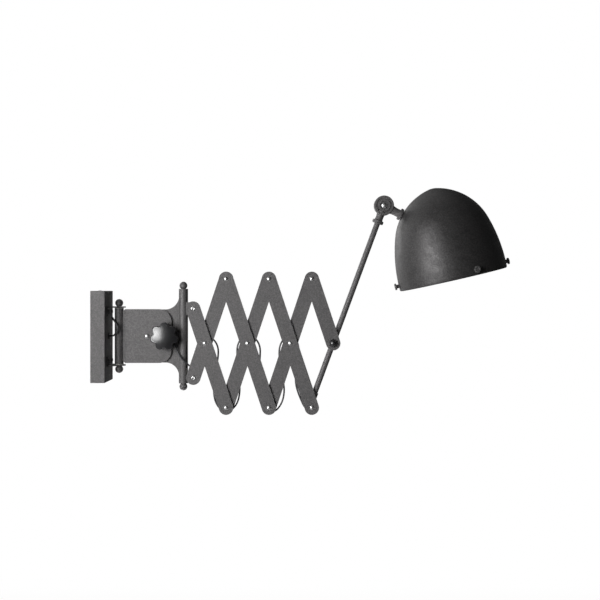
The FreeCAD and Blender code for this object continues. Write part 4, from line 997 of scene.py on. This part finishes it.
# ---- knob and nut ---------------------------------------------------------------------
@dataclass
class Knob(Assembly):
    """The seven-lobed clamp knob and the domed nut on the rod."""

    x: float = 124.5
    lobes: int = 7
    lobe_r: float = 7.0
    reach: float = 25.0
    core_r: float = 20.0
    front_y: float = -29.1
    back_y: float = -13.1
    stem_y: float = -5.1
    stem_r: float = 11.0
    edge: float = 2.6
    back_edge: float = 2.0
    crown: float = 5.0
    sharpness: float = 1.6
    columns: int = 280

    def outline(self, turn: np.ndarray) -> np.ndarray:
        """The star's radius: the larger of the core and each lobe's circle, joined by a soft maximum.

        Args:
            turn: angles round the knob, in radians.

        Returns:
            The radius at each angle.
        """
        centre = self.reach - self.lobe_r
        away = (turn * self.lobes / (2 * np.pi) + 0.5) % 1.0 - 0.5
        phi = away * 2 * np.pi / self.lobes
        inside = np.maximum(self.lobe_r ** 2 - (centre * np.sin(phi)) ** 2, 0.0)
        lobe = centre * np.cos(phi) + np.sqrt(inside)
        lobe = np.where(inside > 0, lobe, 0.0)
        return np.log(np.exp(self.sharpness * (lobe - self.core_r)) + 1.0) / self.sharpness + self.core_r

    def star(self) -> None:
        """The knob: a crowned front and rings of the outline with round edges, down to the stem.

        The crown is y = front + big - sqrt(big^2 - r^2), with big the radius of its sphere.
        """
        turn = full_turn(self.columns)
        star = self.outline(turn) - 0.35
        flat = star - self.edge
        big = (self.reach ** 2 + self.crown ** 2) / (2 * self.crown)
        rows_r = [s * flat for s in np.linspace(0.02, 1.0, 22)]
        rows_y = [self.front_y + big - np.sqrt(big ** 2 - r ** 2) for r in rows_r]
        shoulder, turn_in = rows_y[-1], self.back_y - self.back_edge
        for q in np.radians(np.linspace(14, 90, 8)):
            rows_r.append(flat + self.edge * math.sin(q))
            rows_y.append(shoulder + self.edge * (1 - math.cos(q)))
        ring = np.full(self.columns, self.stem_r)
        steps = [(turn_in, star)]
        steps += [(turn_in + self.back_edge * math.sin(q), star - self.back_edge * (1 - math.cos(q)))
                  for q in np.radians(np.linspace(15, 90, 6))]
        steps += [(self.back_y, share * (ring + 0.8) + (1 - share) * (star - self.back_edge))
                  for share in (0.35, 0.7, 0.95)]
        steps += [(self.back_y + 0.3, ring + 0.25), (self.back_y + 1.0, ring), (self.stem_y - 0.6, ring),
                  (self.stem_y - 0.15, ring - 0.25), (self.stem_y, ring - 0.8), (self.stem_y, ring - 6.4)]
        for y, r in steps:
            rows_r.append(r)
            rows_y.append(np.full(self.columns, y))
        radius, depth = np.array(rows_r), np.array(rows_y)
        spin = turn + np.pi / 2
        grid = np.stack([self.x + radius * np.cos(spin), depth, radius * np.sin(spin)], axis=-1)
        self.fit(Stock().skin(grid), "star_knob", Slot.BLACK, "clamp_knob", "knob", 60.0)

    def nut(self) -> None:
        """The domed nut in front of the last crossing."""
        base = FRONT_FACE_Y - 0.1
        foot = [[base - 1.2, 7.08], [base - 0.3, 7.1], [base, 6.8], [base, 3.2]]
        profile = np.vstack([crown(base - 7.0, base - 1.6, 6.9, 16)[1:], foot])
        stock = Stock().skin(turned_grid(profile, self.layout.crossing(self.layout.cells), BACK, 72))
        self.fit(stock, "rod_dome_nut", Slot.BLACK, "domed_nut", "rod_arm", 50.0)

    def build(self) -> None:
        """Make the knob and the nut."""
        self.star()
        self.nut()


# ---- fasteners and balls --------------------------------------------------------------
@dataclass
class Fasteners(Assembly):
    """Rivets, screw heads and ball ends as smooth turned pieces."""

    rivet_sides: int = 40
    sink: float = 0.05
    box_face_x: float = 27.0
    box_end_z: float = 79.0

    def rivet(self, stock: Stock, pin: np.ndarray, front: float, back: float) -> None:
        """Add a rivet: crowned head in front, upset tail behind.

        Args:
            stock: the piece's stock.
            pin: a point on its axis.
            front: the Y of the face under its head.
            back: the Y of the face under its tail.
        """
        head = crown(front - 1.8, front - 0.25, 3.75, 9)[1:]
        rest = np.array([(front - 0.1, 3.88), (front, 3.8), (front, 2.5), (back, 2.5), (back, 3.6),
                         (back + 0.5, 3.75), (back + 1.1, 3.3), (back + 1.3, 2.6), (back + 1.3, 0.3)])
        stock.skin(turned_grid(np.vstack([head, rest]), pin, BACK, self.rivet_sides))

    def eyelet(self, stock: Stock, pin: np.ndarray, front: float, back: float) -> None:
        """Add a hollow rivet with rolled rims: a closed profile turned about the pin.

        Args:
            stock: the piece's stock.
            pin: a point on its axis.
            front: the Y of the face under its front rim.
            back: the Y of the face under its back rim.
        """
        profile = rounded([(front - 0.9, 1.35, 0), (front - 1.7, 1.9, 0.5), (front - 1.8, 2.9, 0.7),
                           (front - 0.9, 3.8, 0.7), (front, 3.7, 0.2), (front, 2.5, 0), (back, 2.5, 0),
                           (back, 3.6, 0.2), (back + 1.0, 3.5, 0.5), (back + 1.3, 2.4, 0.5),
                           (back + 0.4, 1.35, 0.4), (front - 0.9, 1.35, 0)])[:-1]
        grid = turned_grid(profile, pin, BACK, self.rivet_sides)
        stock.add(grid.reshape(-1, 3), [ring_faces(len(profile), self.rivet_sides, True)])

    def rivets(self) -> None:
        """The rivets of each front link and the eyelets at the two lugs."""
        lay, sink = self.layout, self.sink
        pins = [[lay.crossing(0), lay.joint(0, -1)]]
        pins += [[lay.joint(i - 1, 1), lay.crossing(i), lay.joint(i, -1)] for i in (1, 2)]
        pins += [[lay.joint(2, 1)]]
        for i, group in enumerate(pins):
            stock = Stock()
            for pin in group:
                self.rivet(stock, pin, FRONT_FACE_Y - sink, REAR_BACK_Y + sink)
            if i == 0:
                self.eyelet(stock, lay.guide_pin(1), FRONT_FACE_Y - sink, LUG_BACK_Y + sink)
            self.fit(stock, f"rivets_{i + 1}", Slot.POLISHED, f"link_rivets_{i + 1}", f"front_{i + 1}")
        stock = Stock()
        self.eyelet(stock, lay.guide_pin(-1), REAR_FACE_Y - sink, LUG_BACK_Y + sink)
        self.fit(stock, "lower_eyelet", Slot.POLISHED, "lower_rivet", "rear_1")

    def pan_head(self, stock: Stock, seat: np.ndarray, into: np.ndarray, radius: float, rise: float,
                 shank: float, length: float) -> None:
        """A pan-head screw with a cross recess.

        The head's height is a crown over the radius; inside two crossed bars, height drops by a
        smooth bar profile that fades out towards the head's edge.

        Args:
            stock: the piece's stock.
            seat: the middle of the head's underside.
            into: the direction into the work.
            radius: the head's radius.
            rise: the head's height.
            shank: the shank's radius.
            length: the shank's length.
        """
        columns = 96
        turn = full_turn(columns)
        share = np.linspace(0.03, 1.0, 22)
        r = share[:, None] * radius * 0.93 * np.ones(columns)
        h = -rise * (1 - 0.42 * share[:, None] ** 3) * np.ones(columns)
        bar = 0.13 * radius
        u, v = np.abs(r * np.cos(turn)), np.abs(r * np.sin(turn))
        near = np.minimum(u, v)
        cross = 1 / (1 + np.exp((near - bar) / 0.06)) * 1 / (1 + np.exp((r - 0.6 * radius) / 0.1))
        h = h + cross * rise * 0.5
        axis = unit(into)
        head = seat + h[:, :, None] * axis + r[:, :, None] * spokes(axis, columns)
        rest = np.array([(-rise * 0.38, radius * 0.985), (-rise * 0.15, radius), (0.0, radius * 0.98),
                         (0.0, shank), (length, shank), (length, 0.3)])
        stock.skin(np.concatenate([head, turned_grid(rest, seat, axis, columns)]))

    def screws(self) -> None:
        """The bracket screws on the box's face and the cover screws in its ends."""
        stock = Stock()
        for y in (-16.0, 16.0):
            for z in (-42.7, 42.7):
                seat = np.array([self.box_face_x, y, z])
                self.pan_head(stock, seat, np.array([-1.0, 0, 0]), 3.8, 2.4, 1.98, 9.0)
        self.fit(stock, "bracket_pan_screws", Slot.POWDER, "bracket_screws", "wall")
        stock = Stock()
        for sign in (-1.0, 1.0):
            seat = np.array([9.0, 0, self.box_end_z * sign])
            self.pan_head(stock, seat, np.array([0, 0, -sign]), 3.6, 0.9, 1.98, 8.0)
        self.fit(stock, "cover_pan_screws", Slot.POLISHED, "cover_screws", "wall")

    def balls(self) -> None:
        """Ball ends of the hinge pin and the guide tube: a ball, its flat seat and a turned collar line."""
        ball_r = 6.9
        for name, node, body, x, centre, seat in (
                ("hinge_ball_ends", "hinge_balls", "wall", 43.0, 57.8, 51.7),
                ("guide_ball_ends", "guide_balls", "tilt_arm", 155.4, 88.2, 82.5)):
            low = math.degrees(math.acos((seat - centre) / ball_r))
            ball = arc((centre, 0.0), ball_r, 0.8, low - 3.0, 40)
            foot_r = ball[-1][1]
            profile = np.vstack([ball, [[seat + 0.05, foot_r - 0.25], [seat, foot_r - 0.6], [seat, 0.4]]])
            stock = Stock()
            for sign in (-1.0, 1.0):
                stock.skin(turned_grid(profile, np.array([x, 0, 0]), np.array([0, 0, sign]), 72))
            self.fit(stock, name, Slot.POWDER, node, body)

    def polished(self) -> None:
        """The two polished ends in front: the screw in the swivel and the rivet of the plates."""
        lay = self.layout
        front = lay.rod_y - 8.0
        seat = front + 1.8
        screw = [(front + 0.4, 5.0), (front + 0.8, 5.18), (seat - 0.1, 5.2), (seat, 5.1), (seat, 3.0),
                 (front + 22.0, 3.0), (front + 22.0, 0.3)]
        profile = np.vstack([crown(front - 1.4, front + 0.1, 4.6)[1:], screw])
        stock = Stock().skin(turned_grid(profile, lay.pin(lay.swivel()[0], lay.swivel()[2]), BACK, 64))
        self.fit(stock, "swivel_dome_screw", Slot.POLISHED, "swivel_screw", "rod_arm")
        front = -3.5
        rivet = [(front - 0.2, 4.65), (front, 4.6), (front, 3.0), (3.6, 3.0), (3.6, 4.5), (4.2, 4.7),
                 (4.9, 4.3), (5.2, 3.4), (5.2, 0.3)]
        profile = np.vstack([crown(front - 2.8, front - 0.35, 4.5)[1:], rivet])
        stock = Stock().skin(turned_grid(profile, lay.pin(92.0, 0.0), BACK, 64))
        self.fit(stock, "plate_rivet", Slot.POLISHED, "pivot_rivet", "swing_arm")

    def build(self) -> None:
        """Make every fastener."""
        self.rivets()
        self.screws()
        self.balls()
        self.polished()


# ---- CAD nodes ------------------------------------------------------------------------
class Carried(Assembly):
    """The CAD nodes that keep their own shape and get a finish from their record slot."""

    def build(self) -> None:
        """Dress every node by its slot."""
        slots = {row["node"]: Slot(row["material_slot"]) for row in frame["record"]["subparts"]}
        for name, node in frame["nodes"].items():
            self.finishes.dress(node, slots[name])
            LOG.info("%s: %s", name, slots[name].value)


# ---- studio ---------------------------------------------------------------------------
@dataclass
class Studio:
    """The photograph's camera, a pale sweep, and soft lights at the front left, behind and below."""

    eye: tuple = (348.9, -1750.0, 80.5)
    focal_mm: float = 60.0
    shift: tuple = (0.01, -0.01667)
    target: tuple = (348.9, 0.0, 80.5)
    ambient: float = 0.03
    floor_z: float = -0.75
    bend_y: float = 2.4
    bend_r: float = 0.8

    def camera(self) -> None:
        """Set the camera level, looking along +Y."""
        data = bpy.data.cameras.new("photo_camera")
        data.sensor_width = 36.0
        data.sensor_fit = "HORIZONTAL"
        data.lens = self.focal_mm
        data.shift_x, data.shift_y = self.shift
        data.clip_start, data.clip_end = 0.05, 60.0
        camera = bpy.data.objects.new("photo_camera", data)
        camera.location = Vector(self.eye) * MM
        camera.rotation_euler = (math.radians(90), 0.0, 0.0)
        bpy.context.scene.collection.objects.link(camera)
        bpy.context.scene.camera = camera

    def soft_light(self, name: str, place: tuple, size: tuple, watts: float, shows: bool = True) -> None:
        """An area light aimed at the lamp's middle.

        Args:
            name: the light's name.
            place: where it is, in metres.
            size: its width and height, in metres.
            watts: its power.
            shows: whether glossy surfaces mirror it.
        """
        data = bpy.data.lights.new(name, "AREA")
        data.shape = "RECTANGLE"
        data.size, data.size_y = size
        data.energy = watts
        data.spread = math.radians(75)
        light = bpy.data.objects.new(name, data)
        light.location = Vector(place)
        light.visible_camera = False
        light.visible_glossy = shows
        aim = Vector(self.target) * MM - light.location
        light.rotation_euler = aim.to_track_quat("-Z", "Y").to_euler()
        bpy.context.scene.collection.objects.link(light)

    def sweep(self) -> None:
        """A pale floor that curves up into a backdrop: a line carried sideways."""
        t = np.linspace(0, np.pi / 2, 16)
        bend = np.column_stack([self.bend_y + self.bend_r * np.sin(t),
                                self.floor_z + self.bend_r * (1 - np.cos(t))])
        line = np.vstack([(-0.9, self.floor_z), bend, (self.bend_y + self.bend_r, 4.0)])
        xs = np.array([-5.0, 5.0])
        grid = np.stack([np.repeat(xs[None, :], len(line), axis=0), np.repeat(line[:, :1], 2, axis=1),
                         np.repeat(line[:, 1:], 2, axis=1)], axis=-1)
        r = np.arange(len(line) - 1) * 2
        faces = np.stack([r, r + 1, r + 3, r + 2], axis=-1)
        mesh = bpy.data.meshes.new("studio_sweep")
        mesh.from_pydata(grid.reshape(-1, 3).tolist(), [], faces.tolist())
        mesh.shade_smooth()
        sweep = bpy.data.objects.new("studio_sweep", mesh)
        bpy.context.scene.collection.objects.link(sweep)
        mesh.materials.append(self.paper())

    def paper(self) -> bpy.types.Material:
        """Pale paper: white where it is seen, with the lamp's shadow kept near it, and clear from below."""
        g = Graph("studio_paper")
        speck = g.noise(40.0, 3.0)
        g.set(Base_Color=g.blend(speck, (0.58, 0.58, 0.58), (0.62, 0.62, 0.62)), Roughness=0.9)
        far = g.ramp(g.part(g.place(), "Y"), [(0.3, 0.82), (1.1, 1.0)])
        glow = g.node("ShaderNodeEmission", None, {"Color": WHITE, "Strength": 1.0})
        mirrored = g.ramp(g.part(g.place(), "X") * 0.5 + 0.5, [(0.2, 0.6), (0.75, 0.06)])
        seen = g.seen(mirrored) * far
        mix = g.node("ShaderNodeMixShader", None, {0: seen, 1: g.shader.outputs[0], 2: glow.outputs[0]})
        clear = g.node("ShaderNodeBsdfTransparent")
        below = g.node("ShaderNodeNewGeometry").outputs["Backfacing"]
        sheet = g.node("ShaderNodeMixShader", None, {0: below, 1: mix.outputs[0], 2: clear.outputs[0]})
        g.tree.links.new(sheet.outputs[0], g.output.inputs["Surface"])
        return g.material

    def world(self) -> None:
        """Dim light all round, white where it is seen, and in reflections dark behind the camera."""
        g = Graph("studio_world", bpy.data.worlds.new("studio_world"))
        facing = g.node("ShaderNodeTexCoord").outputs["Generated"]
        behind = g.ramp(g.part(facing, "Y"), [(-0.35, 0.0), (0.25, 1.0)])
        open_side = g.ramp(g.part(facing, "X"), [(-0.1, 0.7), (0.3, 0.05)])
        dim, bright = (g.node("ShaderNodeBackground", None, {"Color": WHITE, "Strength": strength})
                       for strength in (self.ambient, 1.0))
        mix = g.node("ShaderNodeMixShader", None,
                     {0: g.seen(behind * open_side), 1: dim.outputs[0], 2: bright.outputs[0]})
        g.tree.links.new(mix.outputs[0], g.output.inputs["Surface"])
        bpy.context.scene.world = g.material

    def build(self) -> None:
        """Set the stage."""
        self.camera()
        self.sweep()
        self.world()
        self.soft_light("key", (-0.55, -1.10, 0.18), (0.74, 0.95), 5.4)
        self.soft_light("front_fill", (-0.15, -1.9, 0.20), (0.9, 0.9), 0.8, False)
        self.soft_light("back_fill", (-1.1, 1.5, 0.8), (1.2, 1.2), 4.0)
        self.soft_light("rear_fill", (0.10, 1.9, 0.25), (1.0, 1.0), 8.0, False)
        self.soft_light("under_fill", (0.08, 0.30, -0.70), (0.6, 0.6), 6.0, False)
        bpy.context.scene.view_settings.view_transform = "Standard"


def main() -> None:
    """Build the studio and then each part of the lamp."""
    logging.basicConfig(level=logging.INFO, format="%(name)s %(message)s", stream=sys.stdout)
    Studio().build()
    finishes = Finishes()
    for part in (Carried, Cable, Shade, Knob, Fasteners):
        part(finishes).build()


if __name__ == "__main__":
    main()
